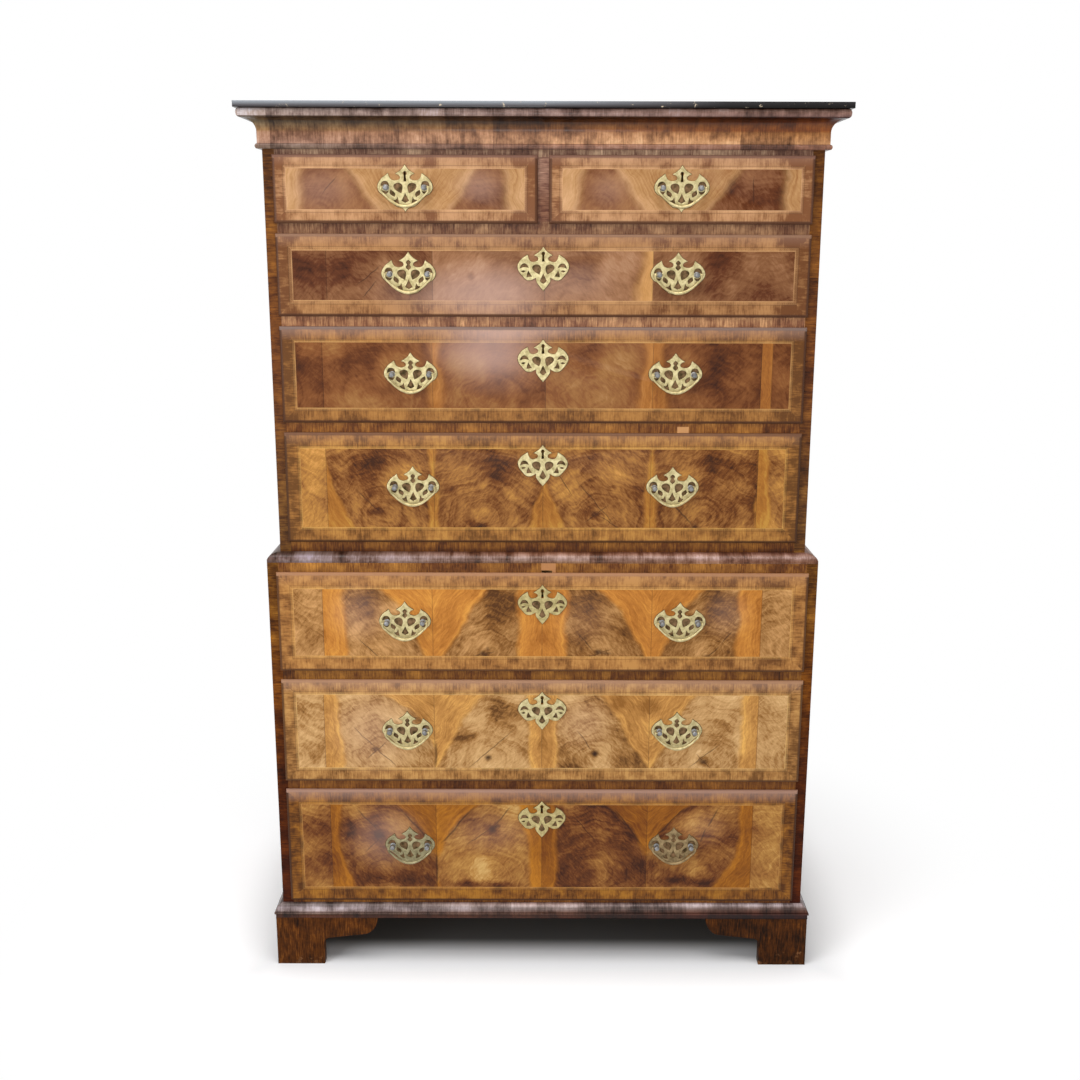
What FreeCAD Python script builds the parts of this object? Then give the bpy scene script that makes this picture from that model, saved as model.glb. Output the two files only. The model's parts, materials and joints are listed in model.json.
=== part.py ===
"""Chest on chest: an upper chest of five drawers that stands on a lower chest of three.

Millimetres, +Z up, front towards -Y, origin on the floor under the middle of the overall box.
Oak and pine carcasses veneered in walnut, lip-moulded drawers, pierced brass plates with bails.
Drawer rows are counted from the top: row 1 holds the two short drawers, rows 5 to 7 the lower chest's.
"""
import FreeCAD
import Part

import os
from collections import namedtuple
from math import acos, asin, cos, hypot, pi, radians, sin

Vec = FreeCAD.Vector

# ---- Carcasses ----------------------------------------------------------------------------
UPPER_WIDTH = 1000.0        # over the upper chest's sides
WAIST_LEDGE = 22.0          # the lower chest stands out by this much at the front and each side
LOWER_DEPTH = 540.0         # lower chest, front edge to back boards
SIDE_T = 21.0               # carcass sides
LOWER_CASE_H = 718.0        # lower carcass, from its bottom board to its top board
UPPER_CASE_H = 830.0
LOWER_ROWS = (232, 202, 188)                # drawer rows' clear heights in proportion, bottom row first
UPPER_ROWS = (202, 169, 139, 111)
RAIL_T = 26.0               # rails between the drawers
RAIL_DEPTH = 70.0
PARTITION_T = 28.0          # upright between the two short drawers
LOWER_BOTTOM_T = 22.0
LOWER_TOP_T = 22.0
UPPER_BOTTOM_T = 20.0
UPPER_BOTTOM_RAIL_H = 40.0  # rail in front of the upper chest's bottom board
UPPER_BOTTOM_RAIL_T = 24.0
TOP_BOARD_T = 20.0
FRIEZE_H = 71.0             # board from the top drawers' opening to the top board
FRIEZE_T = 24.0
TENON_L = 6.0               # stub tenons of rails and boards in the sides
TENON_SHOULDER = 8.0        # how far a tenon stays back from the front edge
RUNNER_W = 34.0
CENTRE_RUNNER_W = 90.0      # carries the inner sides of both short drawers
DUSTBOARD_T = 8.0
GUIDE_H = 22.0              # strip between the short drawers
KICKER_H = 20.0             # strips that keep the short drawers level when drawn out
BACK_T = 12.0
BACK_BOARDS = 5
BACK_REBATE = 10.0          # how far the back boards lap onto each side

# ---- Mouldings and feet -------------------------------------------------------------------
FOOT_H = 103.0
FOOT_LENGTH = 204.0         # bracket, from the corner to its tip
FOOT_LEG_W = 95.0
FOOT_T = 20.0
FOOT_REACH = 13.0           # how far the feet stand out from the carcass
BRACKET_Z = 58.0            # lower edge of the bracket at the leg
BRACKET_RISE = 8.0          # and how much higher it is at the tip
BRACKET_SLOPE = 10.0        # degrees between that edge and the level, where the rounds end
BRACKET_THROAT = 12.0       # hollow between leg and bracket
BRACKET_TIP = 30.0          # quarter round of the tip
THROAT_SIDES = 3
TIP_SIDES = 5
GLUE_BLOCK = 36.0
GLUE_BLOCK_UP = 4.0         # glue blocks end above the floor
BASE_SEAT = 17.0            # base moulding below the carcass
BASE_LAP = 11.0             # base moulding up the carcass face
BASE_REACH = 15.5
BASE_FILLET = 9.0           # plain strip below the nose
BASE_NOSE = 3.5
BASE_FLAT_W = 45.0          # base moulding under the carcass, as the feet's bearing
WAIST_H = 17.0
WAIST_FILLET = 3.0
CORNICE_H = 78.0
CORNICE_REACH = 40.0
TOP_FILLET_H = 10.5
TORUS_H = 16.0
TORUS_ROUND = 5.0
TORUS_SET_BACK = 9.0        # foot of the torus behind the top fillet
CAVETTO_FILLET = 2.0
FRIEZE_REACH = 7.0
BEAD_H = 9.0
BEAD_REACH = 3.5
ROUND_SIDES = 4             # flats that stand for a quarter round or a bead
CAVETTO_SIDES = 5
TORUS_SIDES = 6

# ---- Drawers ------------------------------------------------------------------------------
LIP_OVERLAP = 4.0           # moulded lip over the carcass on all four sides
LIP_T = 7.0
LIP_ROUND = 5.0             # quarter round on the lip's edge
LIP_SIDES = 3
FRONT_T = 20.0              # drawer front inside the opening
DRAWER_SIDE_T = 10.0
DRAWER_BACK_T = 9.0
DRAWER_BOTTOM_T = 8.0
DRAWER_BOTTOM_UP = 3.0      # bottom above the lower edge of the sides
DRAWER_SIDE_DROP = 4.0      # sides below the top edge of the front
DRAWER_BACK_DROP = 9.0
DRAWER_END_SPACE = 14.0     # behind a closed drawer
REBATE = 5.0                # for the drawer bottom, in the sides and the front
DOVETAIL_LAP = 6.0          # wood left in front of the dovetails
DOVETAIL_PITCH = 78.0       # height of front for each dovetail, about
DOVETAIL_SHARE = 0.56       # part of the pitch that a tail takes at its root
DOVETAIL_SLOPE = 0.18
RUN_GAP = 0.3               # between a drawer and what it runs or seats on
SIDE_GAP = 1.0
TOP_GAP = 1.5

# ---- Locks --------------------------------------------------------------------------------
LOCK_W = 60.0
LOCK_H = 52.0
LOCK_T = 11.0
BOLT_W = 22.0
BOLT_H = 20.0
BOLT_T = 5.0
BOLT_TRAVEL = 8.0
BOLT_GAP = 0.3
MORTICE_GAP = 1.0
KEYHOLE_W = 4.0
KEYHOLE_H = 17.0
WORN_X = 8.0                # break-out of the rail's edge before the mortice of row 5
WORN_W = 20.0
WORN_H = 8.0

# ---- Brasses ------------------------------------------------------------------------------
PLATE_T = 1.8
POST_SPACING = 68.0
HANDLE_RISE = 2.5           # posts above the middle of the drawer
UPPER_HANDLES = 487.0       # between the handles of a long drawer
LOWER_HANDLES = 524.0
ESCUTCHEON_DROP = 56.5      # middle of an escutcheon below the top of the lip
PLATE_KEYHOLE_UP = 19.3     # middle of the keyhole above the posts of a short drawer's plate
ESCUTCHEON_KEYHOLE_UP = 17.0
AXIS_REACH = 12.5           # bail axis in front of the drawer's face
POST_HEAD_R = 5.0
POST_HEAD_SIDES = 6
POST_HEAD_FRONT = 4.5       # head in front of the axis
POST_HEAD_BACK = 4.0
POST_NECK = 5.6
NUT = 12.0
NUT_T = 3.5
BAIL_R = 2.6
BAIL_SIDES = 6
BAIL_DROP = 33.5
BAIL_ARM = 8.0              # straight part below the axis
BOW_SIDES = 6              # facets of the bail's curve
PIN_R = 1.5
PIN_SIDES = 4
PIN_END = 1.0               # bottom of the pin's eye from the middle of the post
PIN_GAP = 0.1
ARM_GAP = 0.3

# ---- Levels and planes worked out from the sizes above --------------------------------------
LOWER_WIDTH = UPPER_WIDTH + 2 * WAIST_LEDGE
UPPER_DEPTH = LOWER_DEPTH - WAIST_LEDGE
BAIL_FRONT = RUN_GAP + LIP_T + AXIS_REACH + max(BAIL_R, POST_HEAD_FRONT)
FRONT_REACH = max(BAIL_FRONT, CORNICE_REACH - WAIST_LEDGE, BASE_REACH)
BACK_Y = (LOWER_DEPTH + FRONT_REACH) / 2
LOWER_Y = BACK_Y - LOWER_DEPTH              # front plane of the lower carcass
UPPER_Y = BACK_Y - UPPER_DEPTH
INNER_BACK_Y = BACK_Y - BACK_T
LOWER_BASE_Z = FOOT_H + BASE_SEAT
LOWER_FIRST_Z = LOWER_BASE_Z + LOWER_BOTTOM_T
LOWER_TOP_Z = LOWER_BASE_Z + LOWER_CASE_H
LOWER_LAST_Z = LOWER_TOP_Z - LOWER_TOP_T
UPPER_FIRST_Z = LOWER_TOP_Z + UPPER_BOTTOM_RAIL_H
TOP_Z = LOWER_TOP_Z + UPPER_CASE_H
UPPER_LAST_Z = TOP_Z - TOP_BOARD_T - FRIEZE_H
LOWER_INNER_X = LOWER_WIDTH / 2 - SIDE_T
UPPER_INNER_X = UPPER_WIDTH / 2 - SIDE_T
LOCK_Y = FRONT_T - LOCK_T                   # lock case behind the carcass's front plane
BOLT_Y = LOCK_Y + (LOCK_T - BOLT_T) / 2
ARM_X = POST_SPACING / 2 + POST_HEAD_R + ARM_GAP + BAIL_R

Drawer = namedtuple("Drawer", "name x z front_y handles has_escutcheon")


# ---- Shapes ---------------------------------------------------------------------------------
def block(x, y, z):
    """Box between two values along each axis."""
    return Part.makeBox(x[1] - x[0], y[1] - y[0], z[1] - z[0], Vec(x[0], y[0], z[0]))


def polygon(points):
    """Flat face through corner points."""
    return Part.Face(Part.makePolygon(points + points[:1]))


def bow(centre, radii, start, end, steps):
    """Points along a round stretch of an outline, from one angle in degrees to another."""
    angles = [radians(start + (end - start) * k / steps) for k in range(steps + 1)]
    return [(centre[0] + radii[0] * cos(angle), centre[1] + radii[1] * sin(angle)) for angle in angles]


def pierced_plate(paths, place, thickness):
    """Flat plate: the first path is its outline, and the others are pierced through it."""
    faces = [polygon([place(*point) for point in path]) for path in paths]
    return faces[0].cut(faces[1:]).extrude(thickness).Solids[0]


def both_sides(half):
    """Whole outline from its right half, which runs from the top centre to the bottom centre."""
    return half + [(-x, z) for x, z in reversed(half) if x > 0]


def twice(path):
    """A path on the right and its mirror image on the left."""
    return [path, [(-x, z) for x, z in path]]


def mirrored(shape):
    """Mirror image across the middle plane x = 0."""
    return shape.mirror(Vec(0, 0, 0), Vec(1, 0, 0))


def mitre_cutter(corners, bottom, top):
    """Upright prism over a plan of corners."""
    return polygon([Vec(x, y, bottom) for x, y in corners]).extrude(Vec(0, 0, top - bottom))


def mitred_frame(profile, half_width, front, back):
    """Moulding round the front and both sides of a case, mitred at its front corners.

    The profile's points are (reach out of the case's face, height).
    """
    reaches, heights = zip(*profile)
    out, inn = max(reaches) + 1, min(reaches) - 1
    bottom, top = min(heights) - 1, max(heights) + 1
    span = half_width + out
    front_bar = polygon([Vec(-span, front - reach, z) for reach, z in profile]).extrude(Vec(2 * span, 0, 0))
    corners = [(-half_width - inn, front - inn), (half_width + inn, front - inn),
               (half_width + out, front - out), (-half_width - out, front - out)]
    front_bar = front_bar.common(mitre_cutter(corners, bottom, top)).Solids[0]
    side_bar = polygon([Vec(half_width + reach, front - out, z) for reach, z in profile])
    side_bar = side_bar.extrude(Vec(0, back - front + out, 0))
    corners = [(half_width + inn, front - inn), (half_width + out, front - out),
               (half_width + out, back), (half_width + inn, back)]
    side_bar = side_bar.common(mitre_cutter(corners, bottom, top)).Solids[0]
    return [front_bar, side_bar, mirrored(side_bar)]


def mitred_bar(points, y, radius, sides):
    """Bar of regular section along a path of (x, z) points in an upright plane, mitred at each bend."""
    rings = []
    for k, point in enumerate(points):
        run_in = unit(points[k - 1], point) if k else unit(point, points[1])
        run_out = unit(point, points[k + 1]) if k < len(points) - 1 else run_in
        stretch = 1 / cos(acos(min(1, run_in[0] * run_out[0] + run_in[1] * run_out[1])) / 2)
        normal = unit((0, 0), (-(run_in[1] + run_out[1]), run_in[0] + run_out[0]))
        ring = []
        for along, out in regular(sides, radius):
            ring.append(Vec(point[0] + normal[0] * along * stretch, y + out,
                            point[1] + normal[1] * along * stretch))
        rings.append(ring)
    return skin(rings)


def unit(start, end):
    """Direction from one (x, z) point to another."""
    dx, dz = end[0] - start[0], end[1] - start[1]
    length = hypot(dx, dz)
    return (dx / length, dz / length)


def regular(sides, radius):
    """Corners of a regular polygon about the origin, with its flats square to the axes."""
    angles = [2 * pi * (i + 0.5) / sides for i in range(sides)]
    return [(radius * cos(angle), radius * sin(angle)) for angle in angles]


def skin(rings):
    """Solid between its first and last ring of corners, with flat faces from ring to ring."""
    faces = [polygon(rings[0]), polygon(rings[-1])]
    for first, second in zip(rings, rings[1:]):
        for i in range(len(first)):
            j = (i + 1) % len(first)
            faces.append(polygon([first[i], first[j], second[j], second[i]]))
    return Part.Solid(Part.Shell(faces))


def moulded_panel(x, y, z, radius, steps):
    """Panel with a quarter round on the edge of its front face, in a few flats."""
    rings = []
    for inset, level in [(0, y[1])] + [(radius * (1 - cos(pi / 2 * k / steps)),
                                        y[0] + radius * (1 - sin(pi / 2 * k / steps)))
                                       for k in range(steps + 1)]:
        rings.append([Vec(cx, level, cz) for cx, cz in (
            (x[0] + inset, z[0] + inset), (x[1] - inset, z[0] + inset),
            (x[1] - inset, z[1] - inset), (x[0] + inset, z[1] - inset))])
    return skin(rings)


def save(name, solids):
    """Write one node's solids to its STEP file."""
    shape = solids[0] if len(solids) == 1 else Part.makeCompound(solids)
    shape.exportStep(os.path.join("parts", name + ".step"))


# ---- Where the drawers are --------------------------------------------------------------------
def row_openings(first_z, last_z, proportions):
    """(bottom, top) of each opening of a carcass, from the bottom row up, with rails between them."""
    unit_height = (last_z - first_z - RAIL_T * (len(proportions) - 1)) / sum(proportions)
    openings = []
    z = first_z
    for proportion in proportions:
        openings.append((z, z + proportion * unit_height))
        z = openings[-1][1] + RAIL_T
    return openings


def all_drawers():
    """The eight drawers, each with its opening, front plane and handle places."""
    drawers = []
    upper = row_openings(UPPER_FIRST_Z, UPPER_LAST_Z, UPPER_ROWS)
    lower = row_openings(LOWER_FIRST_Z, LOWER_LAST_Z, LOWER_ROWS)
    for side, name in ((-1, "drawer_1_left"), (1, "drawer_1_right")):
        x = sorted((side * PARTITION_T / 2, side * UPPER_INNER_X))
        drawers.append(Drawer(name, x, upper[3], UPPER_Y, {"": sum(x) / 2}, False))
    rows = [(row, opening, UPPER_Y, UPPER_INNER_X, UPPER_HANDLES) for row, opening in zip((4, 3, 2), upper)]
    rows += [(row, opening, LOWER_Y, LOWER_INNER_X, LOWER_HANDLES) for row, opening in zip((7, 6, 5), lower)]
    for row, opening, front_y, half, spacing in sorted(rows):
        handles = {"_left": -spacing / 2, "_right": spacing / 2}
        drawers.append(Drawer("drawer_%d" % row, [-half, half], opening, front_y, handles, True))
    return drawers


def body_top(drawer):
    """Top edge of a drawer's front inside its opening."""
    return drawer.z[1] - TOP_GAP


def face_y(drawer):
    """Face of a drawer's front."""
    return drawer.front_y - RUN_GAP - LIP_T


def bail_y(drawer):
    """Axis of a drawer's bails."""
    return face_y(drawer) - AXIS_REACH


def post_z(drawer):
    """Height of the bails' axes."""
    return sum(drawer.z) / 2 + HANDLE_RISE


def escutcheon_z(drawer):
    """Height of the middle of the escutcheon."""
    return drawer.z[1] + LIP_OVERLAP - ESCUTCHEON_DROP


def keyhole_z(drawer):
    """Height of the middle of the keyhole."""
    if drawer.has_escutcheon:
        return escutcheon_z(drawer) + ESCUTCHEON_KEYHOLE_UP
    return post_z(drawer) + PLATE_KEYHOLE_UP


def lock_x(drawer):
    """The lock lies in the middle of its drawer."""
    return sum(drawer.x) / 2


# ---- Drawers ------------------------------------------------------------------------------------
def dovetails(drawer):
    """Tails of the right drawer side, as prisms that reach forward into the front."""
    _, _, floor_top, side_top = drawer_levels(drawer)
    count = max(2, round((side_top - floor_top) / DOVETAIL_PITCH))
    pitch = (side_top - floor_top) / count
    length = FRONT_T - DOVETAIL_LAP
    root = drawer.front_y + FRONT_T
    outer = drawer.x[1] - SIDE_GAP
    tails = []
    for k in range(count):
        middle = floor_top + pitch * (k + 0.5)
        half_root = pitch * DOVETAIL_SHARE / 2
        half_end = half_root + length * DOVETAIL_SLOPE
        corners = [(root, middle - half_root), (root, middle + half_root),
                   (root - length, middle + half_end), (root - length, middle - half_end)]
        ring = [Vec(outer - DRAWER_SIDE_T, y, z) for y, z in corners]
        tails.append(polygon(ring).extrude(Vec(DRAWER_SIDE_T, 0, 0)))
    return tails


def across(drawer, shape):
    """Mirror image across the middle of a drawer."""
    return shape.mirror(Vec(sum(drawer.x) / 2, 0, 0), Vec(1, 0, 0))


def drawer_levels(drawer):
    """Bottom edge, underside and top of the bottom board, and top edge of the sides."""
    bottom = drawer.z[0] + RUN_GAP
    floor = bottom + DRAWER_BOTTOM_UP
    return bottom, floor, floor + DRAWER_BOTTOM_T, body_top(drawer) - DRAWER_SIDE_DROP


def drawer_front(drawer):
    """Front of a drawer: a moulded facing, which laps over the carcass, glued to a dovetailed core."""
    bottom, _, floor_top, _ = drawer_levels(drawer)
    seat_y = drawer.front_y - RUN_GAP
    back_y = drawer.front_y + FRONT_T
    keyhole_x = lock_x(drawer) - KEYHOLE_W / 2
    keyhole = block((keyhole_x, keyhole_x + KEYHOLE_W), (seat_y - LIP_T, drawer.front_y + LOCK_Y),
                    (keyhole_z(drawer) - KEYHOLE_H / 2, keyhole_z(drawer) + KEYHOLE_H / 2))
    facing = moulded_panel((drawer.x[0] - LIP_OVERLAP, drawer.x[1] + LIP_OVERLAP), (seat_y - LIP_T, seat_y),
                           (drawer.z[0] - LIP_OVERLAP, drawer.z[1] + LIP_OVERLAP), LIP_ROUND, LIP_SIDES)
    core_x = (drawer.x[0] + SIDE_GAP, drawer.x[1] - SIDE_GAP)
    core = block(core_x, (seat_y, back_y), (bottom, body_top(drawer)))
    tails = dovetails(drawer)
    rebate_x = (core_x[0] + DRAWER_SIDE_T - REBATE, core_x[1] - DRAWER_SIDE_T + REBATE)
    rebate = block(rebate_x, (back_y - REBATE, back_y), (bottom, floor_top))
    cuts = tails + [across(drawer, tail) for tail in tails] + [rebate, lock_case_block(drawer), keyhole]
    return [facing.cut(keyhole).Solids[0], core.cut(cuts).Solids[0]]


def drawer_box(drawer):
    """Dovetailed sides, back and bottom of a drawer."""
    bottom, floor, floor_top, side_top = drawer_levels(drawer)
    start_y = drawer.front_y + FRONT_T
    end_y = INNER_BACK_Y - DRAWER_END_SPACE
    outer = drawer.x[1] - SIDE_GAP
    inner = outer - DRAWER_SIDE_T
    side = block((inner, outer), (start_y, end_y), (bottom, side_top))
    side = side.cut(block((inner, inner + REBATE), (start_y, end_y), (bottom, floor_top)))
    side = side.fuse(dovetails(drawer)).removeSplitter().Solids[0]
    left_inner = drawer.x[0] + SIDE_GAP + DRAWER_SIDE_T
    back = block((left_inner, inner), (end_y - DRAWER_BACK_T, end_y),
                 (floor_top, side_top - DRAWER_BACK_DROP))
    base = block((left_inner - REBATE, inner + REBATE), (start_y - REBATE, end_y), (floor, floor_top))
    return [side, across(drawer, side), back, base]


def lock_case_block(drawer):
    """Space of the lock case, let into the back of the front from its top edge."""
    x, top = lock_x(drawer), body_top(drawer)
    return block((x - LOCK_W / 2, x + LOCK_W / 2), (drawer.front_y + LOCK_Y, drawer.front_y + FRONT_T),
                 (top - LOCK_H, top))


def bolt_block(drawer, gap):
    """Space of the lock bolt when it is drawn back, with a gap round its sides and foot."""
    x, y, top = lock_x(drawer), drawer.front_y + BOLT_Y, body_top(drawer)
    return block((x - BOLT_W / 2 - gap, x + BOLT_W / 2 + gap), (y - gap, y + BOLT_T + gap),
                 (top - BOLT_H - gap, top))


def mortice(drawer):
    """Hole in the rail above a drawer for its lock bolt."""
    x, y = lock_x(drawer), drawer.front_y + BOLT_Y
    return block((x - BOLT_W / 2 - MORTICE_GAP, x + BOLT_W / 2 + MORTICE_GAP),
                 (y - MORTICE_GAP, y + BOLT_T + MORTICE_GAP),
                 (drawer.z[1], body_top(drawer) + BOLT_TRAVEL + MORTICE_GAP))


def lock_case(drawer):
    """Lock case with its keyhole and the slot that the bolt slides in."""
    keyhole = lock_x(drawer) - KEYHOLE_W / 2
    y = drawer.front_y + LOCK_Y
    key = block((keyhole, keyhole + KEYHOLE_W), (y, y + LOCK_T / 2),
                (keyhole_z(drawer) - KEYHOLE_H / 2, keyhole_z(drawer) + KEYHOLE_H / 2))
    return lock_case_block(drawer).cut([bolt_block(drawer, BOLT_GAP), key]).Solids[0]


# ---- Brasses --------------------------------------------------------------------------------------
def handle_plate_paths(keyhole):
    """Outline and piercings of a handle's back plate about the middle of its posts.

    An arrow head on a neck, two horns, a round lobe about each post and a bowed lower edge.
    """
    post = POST_SPACING / 2
    half = [(0, 40), (15.5, 24), (8.5, 20), (8, 14), (post - 11, 10.5), (post - 7.5, 14.5),
            (post - 7, 25), (post + 5.5, 18), (post + 13, 8), (post + 15, -1), (post + 11, -9.5),
            (post + 1, -14), (post - 12.5, -26.5)]
    half += [(5, -34.5), (0, -42)] if keyhole else [(7, -34.5), (0, -35.5)]
    eye = keyhole_path(PLATE_KEYHOLE_UP) if keyhole else arrow_path()
    heart = [(5.5, 3.5), (11, 9), (19.5, 6), (9.5, -7.5)]
    drop = [(0, -9), (5.5, -21), (0, -27), (-5.5, -21)]
    slot = [(post - 7.5, -3), (post - 9, -13), (post - 14, -11)]
    wedge = [(12, -16.5), (18.5, -19), (11, -27)]
    crescent = [(post - 6.5, 6), (post - 2, 12.5), (post + 5, 11), (post + 8.5, 6)]
    paths = [both_sides(half), eye, drop]
    for path in (heart, slot, wedge, crescent):
        paths += twice(path)
    return paths


def arrow_path():
    """Piercing that follows the arrow head, narrows at the neck and ends in a lozenge."""
    return both_sides([(0, 29.5), (5, 25), (2, 20.5), (6, 13.5), (0, 6.5)])


def keyhole_path(up):
    """Keyhole about a point above the middle of a plate."""
    return both_sides([(0, up + 8.8), (3.3, up + 5.5), (1.5, up + 2), (2.4, up - 8.5)])


def escutcheon_paths():
    """Outline and piercings of an escutcheon: a handle plate's upper half over a spade point."""
    half = [(0, 34.5), (17, 20.5), (10.5, 17), (9.5, 11.5), (22.5, 7.5), (26.5, 12), (27, 22),
            (38.5, 15), (46, 4), (45, -8), (32, -21.5), (20, -22), (14.5, -18.5), (10.5, -28.5), (0, -43.5)]
    heart = [(5.5, 0.5), (11, 5), (19.5, 1.5), (10.5, -11.5)]
    drop = [(0, -11.5), (4, -22), (0, -26.5), (-4, -22)]
    slot = [(26, -5), (27.5, -14.5), (20, -14.5)]
    crescent = [(28.5, 1), (33.5, 7), (39.5, 1)]
    paths = [both_sides(half), keyhole_path(ESCUTCHEON_KEYHOLE_UP), drop]
    for path in (heart, slot, crescent):
        paths += twice(path)
    return paths


def on_face(drawer, x0, z0):
    """Placing function for a plate's (x, z) points about a place on a drawer's face."""
    y = face_y(drawer)
    return lambda x, z: Vec(x0 + x, y, z0 + z)


def handle_post(drawer, x, outward):
    """Post on a back plate, with an eye for the bail's pin on its outward side."""
    z, front = post_z(drawer), face_y(drawer) - PLATE_T
    axis = bail_y(drawer)
    half = POST_NECK / 2
    neck = block((x - half, x + half), (axis, front), (z - half, z + half))
    corners = regular(POST_HEAD_SIDES, POST_HEAD_R)
    head = skin([[Vec(x + dx, y, z + dz) for dx, dz in corners]
                 for y in (axis + POST_HEAD_BACK, axis - POST_HEAD_FRONT)])
    eye_x = sorted((x + outward * PIN_END, x + outward * POST_HEAD_R))
    reach = PIN_R + PIN_GAP
    eye = block(eye_x, (axis - reach, axis + reach), (z - reach, z + reach))
    return head.fuse(neck).cut(eye)


def handle_nut(drawer, x):
    """Nut that draws a post tight from inside the drawer."""
    z, inner = post_z(drawer), drawer.front_y + FRONT_T
    return block((x - NUT / 2, x + NUT / 2), (inner, inner + NUT_T), (z - NUT / 2, z + NUT / 2))


def handle_plate(drawer, x):
    """Pierced back plate with its two posts."""
    paths = handle_plate_paths(keyhole=not drawer.has_escutcheon)
    back = pierced_plate(paths, on_face(drawer, x, post_z(drawer)), Vec(0, -PLATE_T, 0))
    posts = [handle_post(drawer, x + side * POST_SPACING / 2, side) for side in (-1, 1)]
    return back.fuse(posts).removeSplitter().Solids[0]


def drawer_brasses(drawer):
    """Handle plates and their nuts, the escutcheon and the lock case."""
    solids = []
    for x in drawer.handles.values():
        solids.append(handle_plate(drawer, x))
        solids += [handle_nut(drawer, x + side * POST_SPACING / 2) for side in (-1, 1)]
    if drawer.has_escutcheon:
        place = on_face(drawer, lock_x(drawer), escutcheon_z(drawer))
        solids.append(pierced_plate(escutcheon_paths(), place, Vec(0, -PLATE_T, 0)))
    return solids + [lock_case(drawer)]


def bail_path():
    """(x, z) points of a bail's bow about its axis, from arm to arm."""
    rise = BAIL_DROP - BAIL_ARM
    radius = (ARM_X ** 2 + rise ** 2) / (2 * rise)
    half_angle = asin(ARM_X / radius)
    curve = []
    for k in range(BOW_SIDES + 1):
        angle = half_angle * (1 - 2 * k / BOW_SIDES)
        curve.append((radius * sin(angle), radius - BAIL_DROP - radius * cos(angle)))
    return [(ARM_X, PIN_R)] + curve + [(-ARM_X, PIN_R)]


def bail(drawer, x):
    """Bail with pins that turn in the eyes of its posts."""
    y, z = bail_y(drawer), post_z(drawer)
    arch = mitred_bar([(x + px, z + pz) for px, pz in bail_path()], y, BAIL_R, BAIL_SIDES)
    pins = []
    for side in (-1, 1):
        reaches = (PIN_END + PIN_GAP, ARM_X - POST_SPACING / 2)
        ends = [x + side * (POST_SPACING / 2 + reach) for reach in reaches]
        section = regular(PIN_SIDES, PIN_R)
        pins.append(skin([[Vec(end, y + dy, z + dz) for dy, dz in section] for end in ends]))
    return [arch.fuse(pins).removeSplitter().Solids[0]]


def lock_bolt(drawer):
    """Bolt of a drawer lock, drawn back."""
    return [bolt_block(drawer, 0)]


# ---- Carcasses ----------------------------------------------------------------------------------------
def tenoned(inner_x, y, z, tenon_y, tenon_z):
    """Board or rail between the sides with a stub tenon at each end."""
    board = block((-inner_x, inner_x), y, z)
    tenon = block((-inner_x - TENON_L, inner_x + TENON_L), tenon_y, tenon_z)
    return board.fuse(tenon).removeSplitter().Solids[0]


def rail_tenon(front_y, z):
    """(y, z) ranges of the stub tenons of a rail, half its thickness."""
    quarter = (z[1] - z[0]) / 4
    return (front_y + TENON_SHOULDER, front_y + RAIL_DEPTH), (z[0] + quarter, z[1] - quarter)


def board_tenon(front_y, z):
    """(y, z) ranges of the long tongue of a top or bottom board, half its thickness."""
    quarter = (z[1] - z[0]) / 4
    return (front_y + TENON_SHOULDER, INNER_BACK_Y), (z[0] + quarter, z[1] - quarter)


def case_side(half_width, front_y, z, tenons):
    """Right side of a case, rebated for the back boards and morticed for the rails."""
    side = block((half_width - SIDE_T, half_width), (front_y, BACK_Y), z)
    inner = half_width - SIDE_T
    cuts = [block((inner, inner + BACK_REBATE), (INNER_BACK_Y, BACK_Y), z)]
    cuts += [block((inner, inner + TENON_L), tenon_y, tenon_z) for tenon_y, tenon_z in tenons]
    return side.cut(cuts).Solids[0]


def back_boards(half_width, z):
    """Upright boards that close the back of a case."""
    left = -(half_width - SIDE_T + BACK_REBATE)
    width = -2 * left / BACK_BOARDS
    return [block((left + k * width, left + (k + 1) * width), (INNER_BACK_Y, BACK_Y), z)
            for k in range(BACK_BOARDS)]


def divider(inner_x, front_y, z, mortices, centre_runner=False):
    """Rail between two rows, with the runners and dustboards behind it."""
    tenon_y, tenon_z = rail_tenon(front_y, z)
    rail = tenoned(inner_x, (front_y, front_y + RAIL_DEPTH), z, tenon_y, tenon_z)
    solids = [rail.cut(mortices).Solids[0]]
    y = (front_y + RAIL_DEPTH, INNER_BACK_Y)
    middle = sum(z) / 2
    dust_z = (middle - DUSTBOARD_T / 2, middle + DUSTBOARD_T / 2)
    solids.append(block((-inner_x, -inner_x + RUNNER_W), y, z))
    solids.append(block((inner_x - RUNNER_W, inner_x), y, z))
    spans = [(-inner_x + RUNNER_W, inner_x - RUNNER_W)]
    if centre_runner:
        solids.append(block((-CENTRE_RUNNER_W / 2, CENTRE_RUNNER_W / 2), y, z))
        spans = [(-inner_x + RUNNER_W, -CENTRE_RUNNER_W / 2), (CENTRE_RUNNER_W / 2, inner_x - RUNNER_W)]
    return solids + [block(span, y, dust_z) for span in spans]


def rail_levels(openings):
    """(bottom, top) of each rail between a carcass's openings."""
    return [(low[1], high[0]) for low, high in zip(openings, openings[1:])]


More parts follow.
